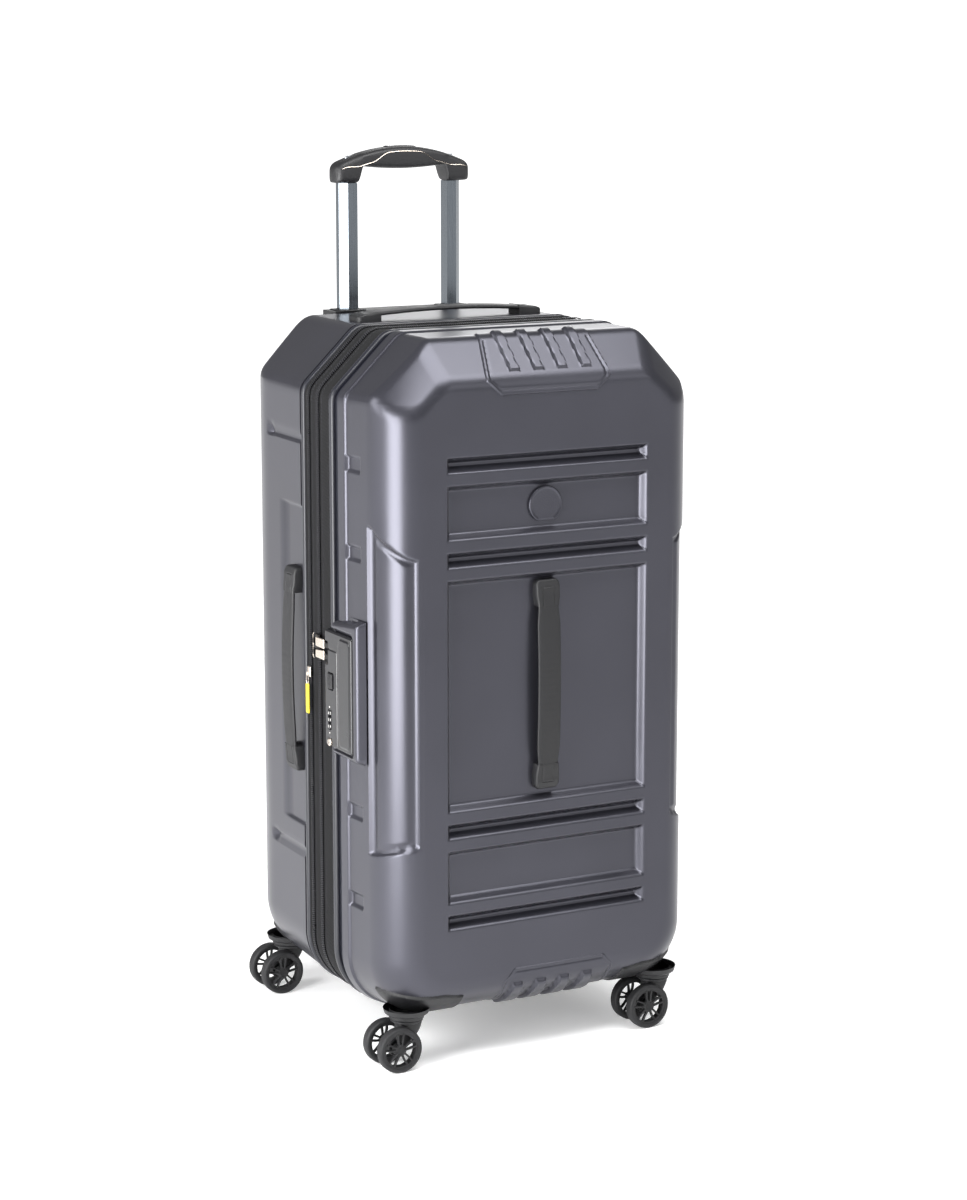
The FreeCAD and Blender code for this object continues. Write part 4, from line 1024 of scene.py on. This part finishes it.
def wheelParts(centre, facing):
    # tyre and rim ring spun round the axle; five pairs of spokes dished towards the outer face; a capped hub
    r, half, rim, soft = wheel["radius"], wheel["wide"] / 2, wheel["rim"], wheel["round"]
    edge = np.linspace(0, math.pi / 2, 6)
    crown = [(r - soft + soft * math.sin(t), -half + soft - soft * math.cos(t)) for t in edge]
    crown += [(r - soft + soft * math.cos(t), half - soft + soft * math.sin(t)) for t in edge]
    tread = [(rim, -half + 0.4), (rim + 1.0, -half)] + crown
    tread += [(rim + 1.0, half), (rim, half - 0.4), (rim, -half + 0.4)]
    parts = turned(tread, centre, (0, facing, 0), 72)
    ring = [(rim + 0.1, -half + 1.2), (rim - 2.2, -half + 1.6), (rim - 2.8, 0), (rim - 2.2, half - 1.4),
            (rim + 0.1, half - 0.9), (rim + 0.1, -half + 1.2)]
    parts += turned(ring, centre, (0, facing, 0), 60)
    hub = [(3.2, -half + 0.6), (6.6, -half + 0.6), (6.8, half - 2.4), (6.2, half - 1.2), (4.6, half - 0.8),
           (4.2, half - 1.6), (0.0, half - 1.6)]
    parts += turned(hub, centre, (0, facing, 0), 36)
    for k in range(wheel["spokes"]):
        for lean in (-1, 1):
            angle = 2 * math.pi * k / wheel["spokes"] + math.pi / 2
            t = np.linspace(0, 1, 7)
            reach = 5.6 + (rim - 7.0) * t
            swing = angle + lean * (0.30 - 0.10 * t - 0.02)
            px, pz = reach * np.cos(swing), reach * np.sin(swing)
            dish = half - 2.6 - 1.2 * np.sin(math.pi * t)
            path = np.stack([px, facing * dish, pz], -1) + centre
            way = unit(np.gradient(path, axis=0))
            up = always([0.0, facing, 0.0], 7)
            side = np.cross(way, up)
            section = ovalProfile(2.3, 4.4, 0, 3.0, 10)
            parts += sweep((path, side, up), repeated(section, 7))
    return parts


def forkParts(x, y):
    # a swivel disc, a neck that leans back to the axle between the wheels, and the axle's boss
    axle = np.array([x - caster["trail"], y, caster["axleHigh"]])
    parts = turned([(0, 54.6), (17.2, 54.6), (18.0, 54.0), (18.0, 52.4), (17.0, 51.7), (0, 51.7)], (x, y, 0),
                   (0, 0, 1), 48)
    t = np.linspace(0, 1, 16)[:, None]
    a, b, c = np.array([x + 1.5, y, 53.0]), np.array([x + 1.0, y, 36.0]), axle
    path = (1 - t) ** 2 * a + 2 * t * (1 - t) * b + t ** 2 * c
    way = unit(np.gradient(path, axis=0))
    across = always([0.0, 1.0, 0.0], 16)
    depth = np.cross(way, across)
    wide = np.full(len(t), caster["neck"])
    long = 30 - 15 * smoothStep(t[:, 0] * 1.15)
    base = ovalProfile(2.0, 2.0, 0, 4.0, 24)
    section = base[None] / 2 * np.stack([wide, long], -1)[:, None]
    parts += sweep((path, across, depth), section)
    parts += turned([(0, -10.4), (8.4, -10.4), (9.0, -9.8), (9.0, 9.8), (8.4, 10.4), (0, 10.4)], axle,
                    (0, 1, 0), 36)
    return parts


coverEdge = {"top": 84.0, "inner": 100.0, "deep": 58.0, "proud": 2.1}


def coverHeight(points):
    # lifted where the cover wraps the bottom corner; its top edge dips inwards and rises to the side
    x, y, z = np.abs(points[..., 0]), points[..., 1], points[..., 2]
    top = coverEdge["top"] + 5 * smoothStep((x - 150) / 45) - 4 * smoothStep((128 - x) / 24)
    outline = np.maximum(np.maximum(z - top, coverEdge["inner"] - x), y - coverEdge["deep"])
    return (coverEdge["proud"] + padSunk) * smoothStep(-outline / 1.5)


def coverParts(side, rim, back):
    fan = np.linspace(0, math.pi / 2, 60)
    h, lo = patch["half"], patch["low"]
    flatX = np.linspace(92, h, 14)[:-1]
    xs = np.concatenate([flatX, np.full(60, h)]) * side
    zs = np.full(len(xs), lo)
    outs = np.concatenate([always([0.0, -1.0], len(flatX)), np.stack([side * np.sin(fan), -np.cos(fan)], -1)])
    skin = padOnShell(xs, zs, outs, rim, back, coverHeight, [104.0, 90.0, 80.0, 72.0, 66.0, 63.0], 60,
                      np.linspace(1, 0.2, 14)[1:])
    return [(skin, gridFaces(*skin.shape[:2]))]


def housingParts(side, inset):
    x = side * caster["x"]
    parts = turned([(18.9, 66.0), (19.4, 62.0), (19.5, 56.2), (19.1, 55.2), (18.2, 55.0), (0, 55.0)],
                   (x, inset, 0), (0, 0, 1), 56)
    parts += turned([(26.0, 67.0), (24.5, 61.5), (21.5, 59.6), (19.0, 59.2)], (x, inset, 0), (0, 0, 1), 56)
    return parts


halves = {"front": ("lid", frontRim, False), "rear": ("case_back", caseBack - backRim, True)}
for end, (body, rim, back) in halves.items():
    parts = []
    for side in (-1, 1):
        parts += coverParts(side, rim, back) + housingParts(side, caster["inset"])
    if back:
        parts = facingBack(parts)
    makePiece(end + "CasterHousings", parts, body, housingBlack, [end + "_caster_housings"],
              closed=False)
for name in ("fl", "fr", "rl", "rr"):
    forkBox = caseBox("caster_fork_" + name)
    x = (-1 if name[1] == "l" else 1) * caster["x"]
    y = (forkBox[0][1] + forkBox[1][1]) / 2
    makePiece("fork_" + name, forkParts(x, y), "caster_" + name, nylonBlack, ["caster_fork_" + name])
    for end, facing in (("a", -1), ("b", 1)):
        node = "wheel_" + name + "_" + end
        makePiece(node + "_disc", wheelParts(caseBox(node).mean(0), facing), node, treadRubber, [node],
                  sharp=35)
print("casters made")


# side lock
lockBox = caseBox("lock_body")
frameBox = caseBox("lock_frame")
lock = {"face": lockBox[0][0], "ridgeBack": 99.0, "gap": 103.0, "frameFace": frameBox[0][0]}
dialBoxes = [caseBox("lock_dial_" + str(k)) for k in (1, 2, 3)]
keyBox = caseBox("lock_key")


def heightPlate(y0, y1, z0, z1, height, base, gapY=1.2, gapZ=1.6):
    # a plate on the case's left side: x = -height(y, z) over a grid, with walls down to the base
    y, z = np.arange(y0, y1 + 0.01, gapY), np.arange(z0, z1 + 0.01, gapZ)
    y[-1], z[-1] = y1, z1
    yg, zg = np.meshgrid(y, z, indexing="ij")
    surface = np.stack([-height(yg, zg), yg, zg], -1)
    return [(surface, gridFaces(len(y), len(z))), skirt(surface, -base)]


def roundRect(y, z, y0, y1, z0, z1, radius):  # signed distance to a rectangle with round corners
    dy = np.abs(y - (y0 + y1) / 2) - (y1 - y0) / 2 + radius
    dz = np.abs(z - (z0 + z1) / 2) - (z1 - z0) / 2 + radius
    return np.minimum(np.maximum(dy, dz), 0) + np.hypot(np.maximum(dy, 0), np.maximum(dz, 0)) - radius


def frameHeight(y, z):
    top = frameBox[1][2] - 1 - 0.10 * (y - 52)
    outer = np.maximum(roundRect(y, z, frameBox[0][1] + 1, 140, frameBox[0][2] + 1, frameBox[1][2] + 6, 6),
                       z - top)
    inner = roundRect(y, z, 64.5, 150, lockBox[0][2] - 1.5, lockBox[1][2] + 3.0, 5)
    proud = -lock["frameFace"] - caseHalf + 3.5
    rise = proud * quarterRound(1 + outer / 6.0)
    return caseHalf - 3.5 + rise - 5.0 * smoothStep(-inner / 2.2)


framePlate = heightPlate(frameBox[0][1], 115.4, frameBox[0][2], frameBox[1][2], frameHeight, caseHalf - 4)
makePiece("lockFrame", framePlate, "lid", shellSmooth, ["lock_frame"], closed=False, sharp=50)


def bodyHeight(y, z):
    y0, y1, z0, z1 = 65.5, lockBox[1][1] - 0.2, lockBox[0][2], lockBox[1][2]
    outer = roundRect(y, z, y0, y1, z0, z1, 5)
    full = -lock["face"] - caseHalf + 1.5
    rise = (full - 1.0) * quarterRound(1 + outer / 3.0)
    ridge = roundRect(y, z, y0 + 3, lock["ridgeBack"], z0 + 5, z1 - 5, 8)
    rise = rise + 1.0 * smoothStep(-ridge / 3.0)
    rise = rise - 1.4 * smoothStep(1 - np.abs(roundRect(y, z, lock["gap"], 160, z0 - 20, z1 - 22, 3)) / 1.4)
    for box in dialBoxes:
        window = roundRect(y, z, 117.2, 124.8, box[0][2] - 0.7, box[1][2] + 0.7, 0.8)
        rise = rise - 3.4 * smoothStep(-window / 0.7 + 0.3)
    keyRing = np.hypot(y - 121, z - (keyBox[0][2] + keyBox[1][2]) / 2)
    rise = rise - 1.0 * smoothStep((6.4 - keyRing) / 0.9)
    button = roundRect(y, z, 111.4, 124.6, 411.4, 430.6, 1.5)
    rise = rise - 4.4 * smoothStep(-button / 0.8)
    notch = np.minimum(roundRect(y, z, 124.5, 150, 451, 464, 1), roundRect(y, z, 124.5, 150, 438.5, 451.5, 1))
    rise = rise - 5.2 * smoothStep(-notch / 1.2)
    return caseHalf - 1.5 + rise


bodyBack = lockBox[1][1] - 0.2
bodyPlate = heightPlate(65.5, bodyBack, lockBox[0][2], lockBox[1][2], bodyHeight, caseHalf - 0.6, 0.7, 0.8)
makePiece("lockBody", bodyPlate, "lid", glossBlack, ["lock_body"], closed=False, sharp=50)
for k, box in enumerate(dialBoxes):
    centre = (box[0] + box[1]) / 2
    radius, half = (box[1][0] - box[0][0]) / 2, (box[1][2] - box[0][2]) / 2 - 0.1
    knurl = 1 - 0.035 * (np.cos(np.arange(80) * 2 * math.pi / 80 * 20) < -0.3)
    drumEdge = [(1.2, -half), (radius - 0.4, -half), (radius, -half + 0.4), (radius, half - 0.4),
                (radius - 0.4, half),
                (1.2, half), (1.2, -half)]
    (drum, drumFaces), = turned(drumEdge, centre, (0, 0, 1), 80)
    drum = centre + (drum - centre) * np.stack([knurl, knurl, np.ones(80)], -1)
    dial = "lock_dial_" + str(k + 1)
    makePiece("numberWheel" + str(k + 1), [(drum, drumFaces)], dial, nylonBlack, [dial])


inkWhite = mouldedBlack("pad-printed ink, white", "#e8e6e0", 0.5, 0.05, 1.0, "#dad8d2")


def numberStrip(box, body, name):
    # eight small numerals round the drum: flat text bent to its radius
    centre = (box[0] + box[1]) / 2
    radius = (box[1][0] - box[0][0]) / 2 + 0.04
    allPoints, allFaces = [], []
    for digit in range(8):
        curve = bpy.data.curves.new("numeral", "FONT")
        curve.body, curve.size, curve.align_x, curve.align_y = str(digit), 3.9, "CENTER", "CENTER"
        helper = bpy.data.objects.new("numeral", curve)
        flat = bpy.data.meshes.new_from_object(helper)
        co = np.zeros(len(flat.vertices) * 3)
        flat.vertices.foreach_get("co", co)
        co = co.reshape(-1, 3)
        turn = math.pi + digit * math.pi / 4 + co[:, 0] / radius
        points = centre + np.stack([radius * np.cos(turn), radius * np.sin(turn), co[:, 1]], -1)
        start = sum(len(p) for p in allPoints)
        allPoints.append(points)
        allFaces += [[v + start for v in p.vertices] for p in flat.polygons]
        bpy.data.objects.remove(helper)
        bpy.data.curves.remove(curve)
    placed = np.concatenate(allPoints) / 1000 + [caseMiddle, caseFace, 0]
    mesh = bpy.data.meshes.new(name)
    mesh.from_pydata(placed.tolist(), [], allFaces)
    mesh.materials.append(inkWhite)
    piece = bpy.data.objects.new(name, mesh)
    bpy.context.scene.collection.objects.link(piece)
    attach(piece, body)


for k, box in enumerate(dialBoxes):
    numberStrip(box, "lock_dial_" + str(k + 1), "numerals" + str(k + 1))
# key barrel, ring and two index dots; the key slot is no cut but a thin black plate on the barrel's face,
# painted shade for the dark keyhole
keyCentre = (keyBox[0] + keyBox[1]) / 2
keyFace = keyBox[0][0]
barrel = turned([(0, 0.6), (0.9, 0.6), (1.3, 0.0), (3.6, 0.0), (4.2, 0.5), (4.3, 5.5)],
                (keyFace, keyCentre[1], keyCentre[2]), (1, 0, 0), 40)
# painted shade: a black plate a little proud of the face stands for the shadowed inside of the keyhole
slotShadePlate = roundedBox((keyFace - 0.12, keyCentre[1] - 0.5, keyCentre[2] - 2.6),
                     (keyFace + 0.4, keyCentre[1] + 0.5, keyCentre[2] + 2.6), 0.18)
makePiece("keyBarrel", barrel, "lock_key", platedZinc, ["lock_key"], closed=False)
makePiece("keySlotShadePlate", slotShadePlate, "lock_key", glossBlack)
dots = []
for z in (362.5, 391.5):
    dots += turned([(0, 0.25), (0.7, 0.2), (0.8, 0.0)], (lock["face"] + 0.95, 121.0, z), (-1, 0, 0), 14)
makePiece("indexDots", dots, "lid", inkWhite, closed=False)
lockButton = caseBox("lock_button")
button = roundedBox(lockButton[0] + [0.3, 0.2, 0.2], lockButton[1] - [0, 0.2, 0.2], 1.2)
buttonFace = lockButton[0][0]
for z in (417, 420, 423, 426):  # finger ribs
    button += roundedBox((buttonFace - 0.1, 113.6, z), (buttonFace + 1.2, 122.4, z + 0.9), 0.35)
makePiece("releaseButton", button, "lock_release", nylonBlack, ["lock_button"])
print("lock made")


# sliders and pulls
def platedTab(x0, x1, outline, edge=0.5):
    # a flat outline in (y, z) with softened edges: loops drawn in towards the middle on both faces
    outline = np.array(outline, float)
    middle = outline.mean(0)
    loops = []
    steps = ((x0, 0.86), (x0, 0.93), (x0 + edge * 0.35, 0.975), (x0 + edge, 1.0),
             (x1 - edge, 1.0), (x1 - edge * 0.35, 0.975), (x1, 0.93), (x1, 0.86))
    for x, share in steps:
        loop = middle + (outline - middle) * share
        loops.append(np.stack([np.full(len(loop), x), loop[:, 0], loop[:, 1]], -1))
    return closedTube(np.stack(loops))


def rounded2(points, radius=1.2, steps=5):  # an outline with each corner cut by a short curve
    points = np.array(points, float)
    before, after = np.roll(points, 1, 0) - points, np.roll(points, -1, 0) - points
    b, a = points + unit(before) * radius, points + unit(after) * radius
    t = np.linspace(0, 1, steps)[None, :, None]
    curve = (1 - t) ** 2 * b[:, None] + 2 * t * (1 - t) * points[:, None] + t ** 2 * a[:, None]
    return curve.reshape(-1, 2)


pulls = {"upper": 457.5, "lower": 445.0, "slant": 1.6, "yellow": "#efd529", "dullYellow": "#dcc01e"}
for name, slant in (("upper", pulls["slant"]), ("lower", 0.0)):
    z = pulls[name]
    box = caseBox("zip_pull_" + name)
    x0, x1 = box[0][0] - 0.4, box[1][0] + 0.2
    tab = rounded2([(161, z + 3.4 + slant), (139.5, z + 5.6), (139.5, z - 5.2), (161, z - 5.0)])
    body = "zip_pull_" + name
    makePiece("pullTab" + name.capitalize(), platedTab(x0, x1, tab), body, platedZinc, [body])
    tongue = rounded2([(141, z + 3.0), (130.0, z + 2.6), (130.0, z - 2.6), (141, z - 3.0)], 0.8)
    tongueParts = platedTab(x0 + 0.45, x1 - 0.35, tongue, 0.3)
    makePiece("pullTongue" + name.capitalize(), tongueParts, body, darkSlider)
sliderBox = caseBox("main_sliders")
sliderParts, rimParts = [], []
for z in (pulls["upper"], pulls["lower"]):
    sliderParts += roundedBox((sliderBox[1][0] - 3.0, 157.6, z - 7.4),
                              (sliderBox[1][0] - 0.2, 168.6, z + 7.4), 1.3)
    sliderParts += roundedBox((sliderBox[0][0], 165.2, z - 3.2), (sliderBox[1][0] - 2.0, 167.6, z + 3.2), 0.9)
    t = np.linspace(-1, 1, 24)
    arch = np.stack([sliderBox[1][0] - 3.2 - 1.6 * (1 - t ** 4), 170.6 - 1.6 * (1 - t ** 2), z + 8.0 * t], -1)
    section = repeated(ovalProfile(1.3, 1.1, 0, 2, 8), 24)
    rimParts += sweep((arch, always([0, 1, 0], 24), always([1, 0, 0], 24)), section)
makePiece("mainSliders", sliderParts, "zip_band", darkSlider, ["main_sliders"])
makePiece("sliderBridges", rimParts, "zip_band", platedZinc)
expansionBox = caseBox("expansion_slider")
runner = roundedBox(expansionBox[0] + [0.2, 0, -1], expansionBox[1] + [0, 0, 1], 1.1)
makePiece("expansionSlider", runner, "expansion_runner", platedZinc, ["expansion_slider"])
tagBox = caseBox("expansion_pull")
tagX = (tagBox[0][0] + tagBox[1][0]) / 2
tagTop = tagBox[0][2] + 33.0
a = aroundLoop(32)
loopY = band["coilBack"] + 2.3 * squared(np.cos(a), 0.7)
loopPath = np.stack([np.full(32, tagX), loopY, tagTop + 6.4 + 7.6 * squared(np.sin(a), 0.8)], -1)
inward = unit(loopPath - loopPath.mean(0))
linkSection = repeated(ovalProfile(1.1, 1.1, 0, 2, 8), 32)
link = sweep((loopPath, inward, always([1, 0, 0], 32)), linkSection, closedPath=True)
makePiece("tagLink", link, "expansion_tag", platedZinc)
tagFront, tagBack = band["coilBack"] - 3.6, band["coilBack"] + 3.6
tagOutline = rounded2([(tagFront, tagTop + 0.5), (tagBack, tagTop + 0.5), (tagBack, tagBox[0][2]),
                       (tagFront, tagBox[0][2])], 0.8)

# yellow vinyl tag, moulded: flat and slightly waxy, its lines of print left blank
yellowVinyl = mouldedBlack("moulded vinyl, yellow", pulls["yellow"], 0.42, 0.1, 1.4, pulls["dullYellow"])
makePiece("expansionTag", platedTab(tagX - 0.7, tagX + 0.7, tagOutline, 0.35), "expansion_tag", yellowVinyl,
          ["expansion_pull"])
print("pulls made")


# inside: fabric linings, the lid's mesh pocket, crossed packing straps and their buckle
lining = {"inset": 14.8, "lipInset": 3.5, "lipFrom": 2.6, "skin": 1.0, "floor": 84.0, "puckers": 0.9}


def softFolds(points):
    # shallow puckers: three waves that cross at odd angles, added up
    x, y, z = points[..., 0], points[..., 1], points[..., 2]
    folds = np.sin(0.031 * x + 0.052 * z + 0.06 * y) + 0.7 * np.sin(0.083 * x - 0.021 * z)
    return (folds + 0.6 * np.sin(0.019 * x + 0.113 * z + 0.09 * y)) / 2.3


def liningParts(rim, back, faceFrom, tunnel):
    # the shell's field again, moved in; its floor is flat over the casters, its face a gathered sheet, and
    # the
    # tunnel over the handle's tubes stands proud of that face
    starts, outs = loopStations(zLines[::2], xLines[::2], 16)
    lip = skinGrid(starts, outs, rim, back, [rim - lining["lipFrom"]], 1, [0.0], lining["lipInset"])[:1]
    sides = np.linspace(rim - lining["lipFrom"] - 1.0, pivotIn, 12)
    skin = skinGrid(starts, outs, rim, back, sides, 16, np.linspace(1, 0, 9)[1:], lining["inset"])
    skin = skin - slopeOf(skin, rim, back) * (0.5 + 0.5 * softFolds(skin))[..., None] * lining["puckers"]
    gx, gz = np.meshgrid(xLines[::2], zLines[::2])
    face = np.stack([gx, np.full(gx.shape, faceFrom), gz], -1)
    sheets = []
    for sheet in (skin, face):
        raised = faceFrom + lining["puckers"] * (0.5 + 0.5 * softFolds(sheet))
        raised = raised + tunnel * smoothStep((104 - np.abs(sheet[..., 0])) / 14)
        sheet[..., 1] = np.maximum(sheet[..., 1], raised)
        onCaster = smoothStep((np.abs(sheet[..., 0]) - 84) / 14) * smoothStep((106 - sheet[..., 1]) / 8)
        sheet[..., 2] = np.maximum(sheet[..., 2], lining["floor"] * onCaster)
        sheets.append(sheet)
    skin = np.concatenate([lip, sheets[0]])
    parts = [(skin, gridFaces(len(skin), len(starts), False, True)), (sheets[1], gridFaces(*gx.shape))]
    return facingBack(parts) if back else parts


def thickened(piece, mm):
    made = piece.modifiers.new("cloth", "SOLIDIFY")
    made.thickness, made.offset = mm / 1000, 0.0
    return piece


halfLinings = {
    "lidLining": ("lid", "lid_lining", (frontRim, False, 15.6, 0.0)),
    "backLining": ("case_back", "back_lining", (caseBack - backRim, True, 16.4, 23.0)),
}
for name, (body, node, shape) in halfLinings.items():
    cloth = makePiece(name, liningParts(*shape), body, liningCloth, [node], weld=0.4, sharp=60)
    thickened(cloth, lining["skin"])

# mesh pocket: a flat net panel that bellies out a little, gathered by elastic along its top, in a bound edge
pocketBox = caseBox("lid_pocket")
pocket = {"bound": 9.0, "belly": 0.7, "ruffle": 0.35, "ruffles": 26}
px, pz = np.meshgrid(np.linspace(pocketBox[0][0] + 1, pocketBox[1][0] - 1, 150),
                     np.linspace(pocketBox[0][2] + 1, pocketBox[1][2] - 1, 70))
tx, tz = (px - px.min()) / (px.max() - px.min()), (pz - pz.min()) / (pz.max() - pz.min())
py = pocketBox[0][1] + 1.0 + pocket["belly"] * np.sin(math.pi * tx) * np.sin(math.pi * tz) \
    + pocket["ruffle"] * np.sin(2 * math.pi * pocket["ruffles"] * tx) * smoothStep((tz - 0.55) / 0.45)
net = makePiece("lidPocket", [(np.stack([px, py, pz], -1), gridFaces(*px.shape))], "lid", meshCloth,
                ["lid_pocket"], sharp=60)
thickened(net, 0.6)


def ribbon(start, end, wide, thick, out, slack=0.0, count=60):
    # a flat strap between two points, its section a rounded strip, bowed by slack
    start, end, out = np.array(start, float), np.array(end, float), np.array(out, float)
    t = np.linspace(0, 1, count)[:, None]
    centre = start + (end - start) * t + out * slack * np.sin(math.pi * t) ** 2
    way = unit(end - start)
    across = np.cross(way, out)
    section = ovalProfile(wide, thick, 0, 5.0, 20)
    return sweep((centre, np.tile(across, (count, 1)), np.tile(out, (count, 1))), repeated(section, count))


b0, b1 = pocketBox[0] + [4.4, 0, 4.4], pocketBox[1] - [4.4, 0, 4.4]
left, right, foot, head = b0[0], b1[0], b0[2], b1[2]
binding, bindY = [], pocketBox[0][1] + 1.25
edges = ((left, foot, right, foot), (left, head, right, head), (left, foot, left, head),
         (right, foot, right, head))
for x0, z0, x1, z1 in edges:
    binding += ribbon((x0, bindY, z0), (x1, bindY, z1), pocket["bound"], 2.0, (0.0, 1.0, 0.0))
makePiece("pocketBinding", binding, "lid", webbingCloth)

# packing straps run from the corners of the back half to a side-release buckle
strapBox, buckleBox = caseBox("packing_straps"), caseBox("strap_buckle")
strap = {"wide": 24.0, "thick": 1.5, "fold": 30.0}
strapY, hubMiddle = (strapBox[0][1] + strapBox[1][1]) / 2, (buckleBox[0] + buckleBox[1]) / 2
straps, strapThread = [], []
for sx in (-1, 1):
    for sz in (-1, 1):
        inner = np.array([sx * 25.5, strapY, hubMiddle[2] + sz * 8])
        outer = np.array([sx * (strapBox[1][0] - 4), strapY, hubMiddle[2] + sz * 186])
        straps += ribbon(inner, outer, strap["wide"], strap["thick"], (0.0, 1.0, 0.0), 0.5)
        way = unit(outer - inner)
        side = np.cross(way, [0.0, 1.0, 0.0])
        straps += ribbon(inner + way * 2, inner + way * strap["fold"], strap["wide"] - 1, strap["thick"],
                         (0.0, 1.0, 0.0), 0.3, 16)
        for edge in (-9.5, 9.5):
            shift = side * edge - [0, 0.9, 0]
            strapThread += ribbon(inner + way * 4 + shift, outer - way * 4 + shift, 0.8, 0.6, (0.0, 1.0, 0.0),
                                  0.5)
makePiece("packingStraps", straps, "case_back", webbingCloth, ["packing_straps"])
makePiece("strapStitching", strapThread, "case_back", threadGrey)
hub = []
hubFront, hubBack, hubZ = buckleBox[0][1], buckleBox[1][1], hubMiddle[2]
for sx in (-1, 1):
    near, far = sorted((sx * 5, sx * 27))
    hub += roundedBox((near, hubFront + 0.3, hubZ - 19), (far, hubBack - 0.3, hubZ + 19), 2.4)
    near, far = sorted((sx * 0.4, sx * 8))
    for z in (-13, 13):
        hub += roundedBox((near, hubFront + 1.6, hubZ + z - 3), (far, hubBack - 1.6, hubZ + z + 3), 1.4)
    for k in range(4):
        ridge = sx * (12 + 3.2 * k)
        hub += roundedBox((ridge - 0.7, hubFront - 0.1, hubZ - 12), (ridge + 0.7, hubFront + 1.2, hubZ + 12),
                          0.6)
makePiece("strapBuckle", hub, "case_back", nylonBlack, ["strap_buckle"])
print("inside made")

# CAD pieces that keep their shape take a finish of their own
boardBlack = mouldedBlack("extruded polypropylene board", "#1a1a1d", 0.6, 0.15, 1.6)
cadFinish = {
    "trolley_stage_2": anodisedTube, "trolley_stage_1": anodisedTube,
    "trolley_rails": zincSteel, "release_rods": zincSteel,
    "trolley_base": nylonBlack, "trolley_bezel": housingBlack, "band_frame": boardBlack,
    "front_caster_screws": zincSteel, "rear_caster_screws": zincSteel,
}
for node, finish in cadFinish.items():
    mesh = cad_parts[node].data
    mesh.materials.clear()
    mesh.materials.append(finish)
print("CAD pieces finished")

# floor, light and camera
stageSize = {"radius": 40.0, "rings": 24, "nearGlow": 0.28, "farGlow": 1.05, "near": 0.9, "far": 4.5}


def makeStage():
    # one pale disc, wide enough to run to the horizon, that glows a little as overlit paper does
    floorMaterial, tree, surface, place = newMaterial("matt studio paper", Roughness=0.8)
    fibres = noise(tree, place, 30.0, 3.0)
    tree.links.new(twoColours(tree, fibres, "#f4f4f4", "#f7f7f7"), surface.inputs["Base Color"])
    surface.inputs["Specular IOR Level"].default_value = 0.1
    surface.inputs["Emission Color"].default_value = linearColour("#ffffff")
    reach = addNode(tree, "ShaderNodeVectorMath", {0: place}, operation="LENGTH").outputs["Value"]
    glow = levels(tree, reach, stageSize["near"], stageSize["far"], stageSize["nearGlow"],
                  stageSize["farGlow"])
    tree.links.new(glow, surface.inputs["Emission Strength"])
    rings = np.linspace(0, 1, stageSize["rings"]) ** 2 * stageSize["radius"]
    a = aroundLoop(96)
    points = np.stack([rings[:, None] * np.cos(a), rings[:, None] * np.sin(a),
                       np.zeros((len(rings), len(a)))], -1).reshape(-1, 3)
    mesh = bpy.data.meshes.new("floor")
    mesh.from_pydata(points.tolist(), [], gridFaces(len(rings), len(a), False, True)[:, ::-1].tolist())
    floor = bpy.data.objects.new("floor", mesh)
    bpy.context.scene.collection.objects.link(floor)
    mesh.materials.append(floorMaterial)


lamps = {
    # name: place, aim, width, height, watts
    "topPanel": ((0.0, -0.95, 2.5), (0.0, -0.1, 0.75), 2.5, 1.0, 74),
    "cornerStrip": ((-1.35, -0.5, 0.55), (-0.2, -0.1, 0.42), 0.7, 1.1, 36),
    "leftWall": ((-2.6, 0.9, 1.5), (-0.1, 0.0, 0.5), 1.2, 1.8, 40),
    "frontFill": ((1.9, -3.2, 2.0), (0.0, 0.0, 0.4), 1.6, 1.6, 14),
    "backRim": ((1.6, 2.4, 2.1), (0.0, 0.0, 0.6), 1.2, 1.4, 22),
}


def makeLamps():
    for name, (place, aim, width, high, watts) in lamps.items():
        light = bpy.data.lights.new(name, "AREA")
        light.shape, light.size, light.size_y, light.energy = "RECTANGLE", width, high, watts
        lamp = bpy.data.objects.new(name, light)
        bpy.context.scene.collection.objects.link(lamp)
        toward = Vector(aim) - Vector(place)
        lamp.location = place
        lamp.visible_camera = False
        lamp.rotation_euler = toward.to_track_quat("-Z", "Y").to_euler()
    # the room is dim for the case, and white where the floor ends at the horizon
    world = bpy.data.worlds.new("studio")
    bpy.context.scene.world = world
    world.use_nodes = True
    tree = world.node_tree
    sky = tree.nodes["Background"]
    sky.inputs[0].default_value = linearColour("#fbfbfb")
    seen = addNode(tree, "ShaderNodeLightPath").outputs["Is Camera Ray"]
    tree.links.new(levels(tree, seen, 0.0, 1.0, 0.3, 1.2), sky.inputs[1])


camera = {"lens": 88.6, "azimuth": 28.24, "down": 10.89, "place": (-1548.3, -2732.8, 1116.4)}


def makeCamera():
    data = bpy.data.cameras.new("camera")
    data.lens, data.sensor_width, data.sensor_fit = camera["lens"], 36.0, "AUTO"
    data.clip_end = 60
    made = bpy.data.objects.new("camera", data)
    bpy.context.scene.collection.objects.link(made)
    x, y, z = camera["place"]
    made.location = (x / 1000 + caseMiddle, y / 1000 + caseFace, z / 1000)
    made.rotation_euler = (math.radians(90 - camera["down"]), 0, -math.radians(camera["azimuth"]))
    bpy.context.scene.camera = made


makeStage()
makeLamps()
makeCamera()
bpy.context.scene.view_settings.view_transform = "Standard"
print("scene ready")
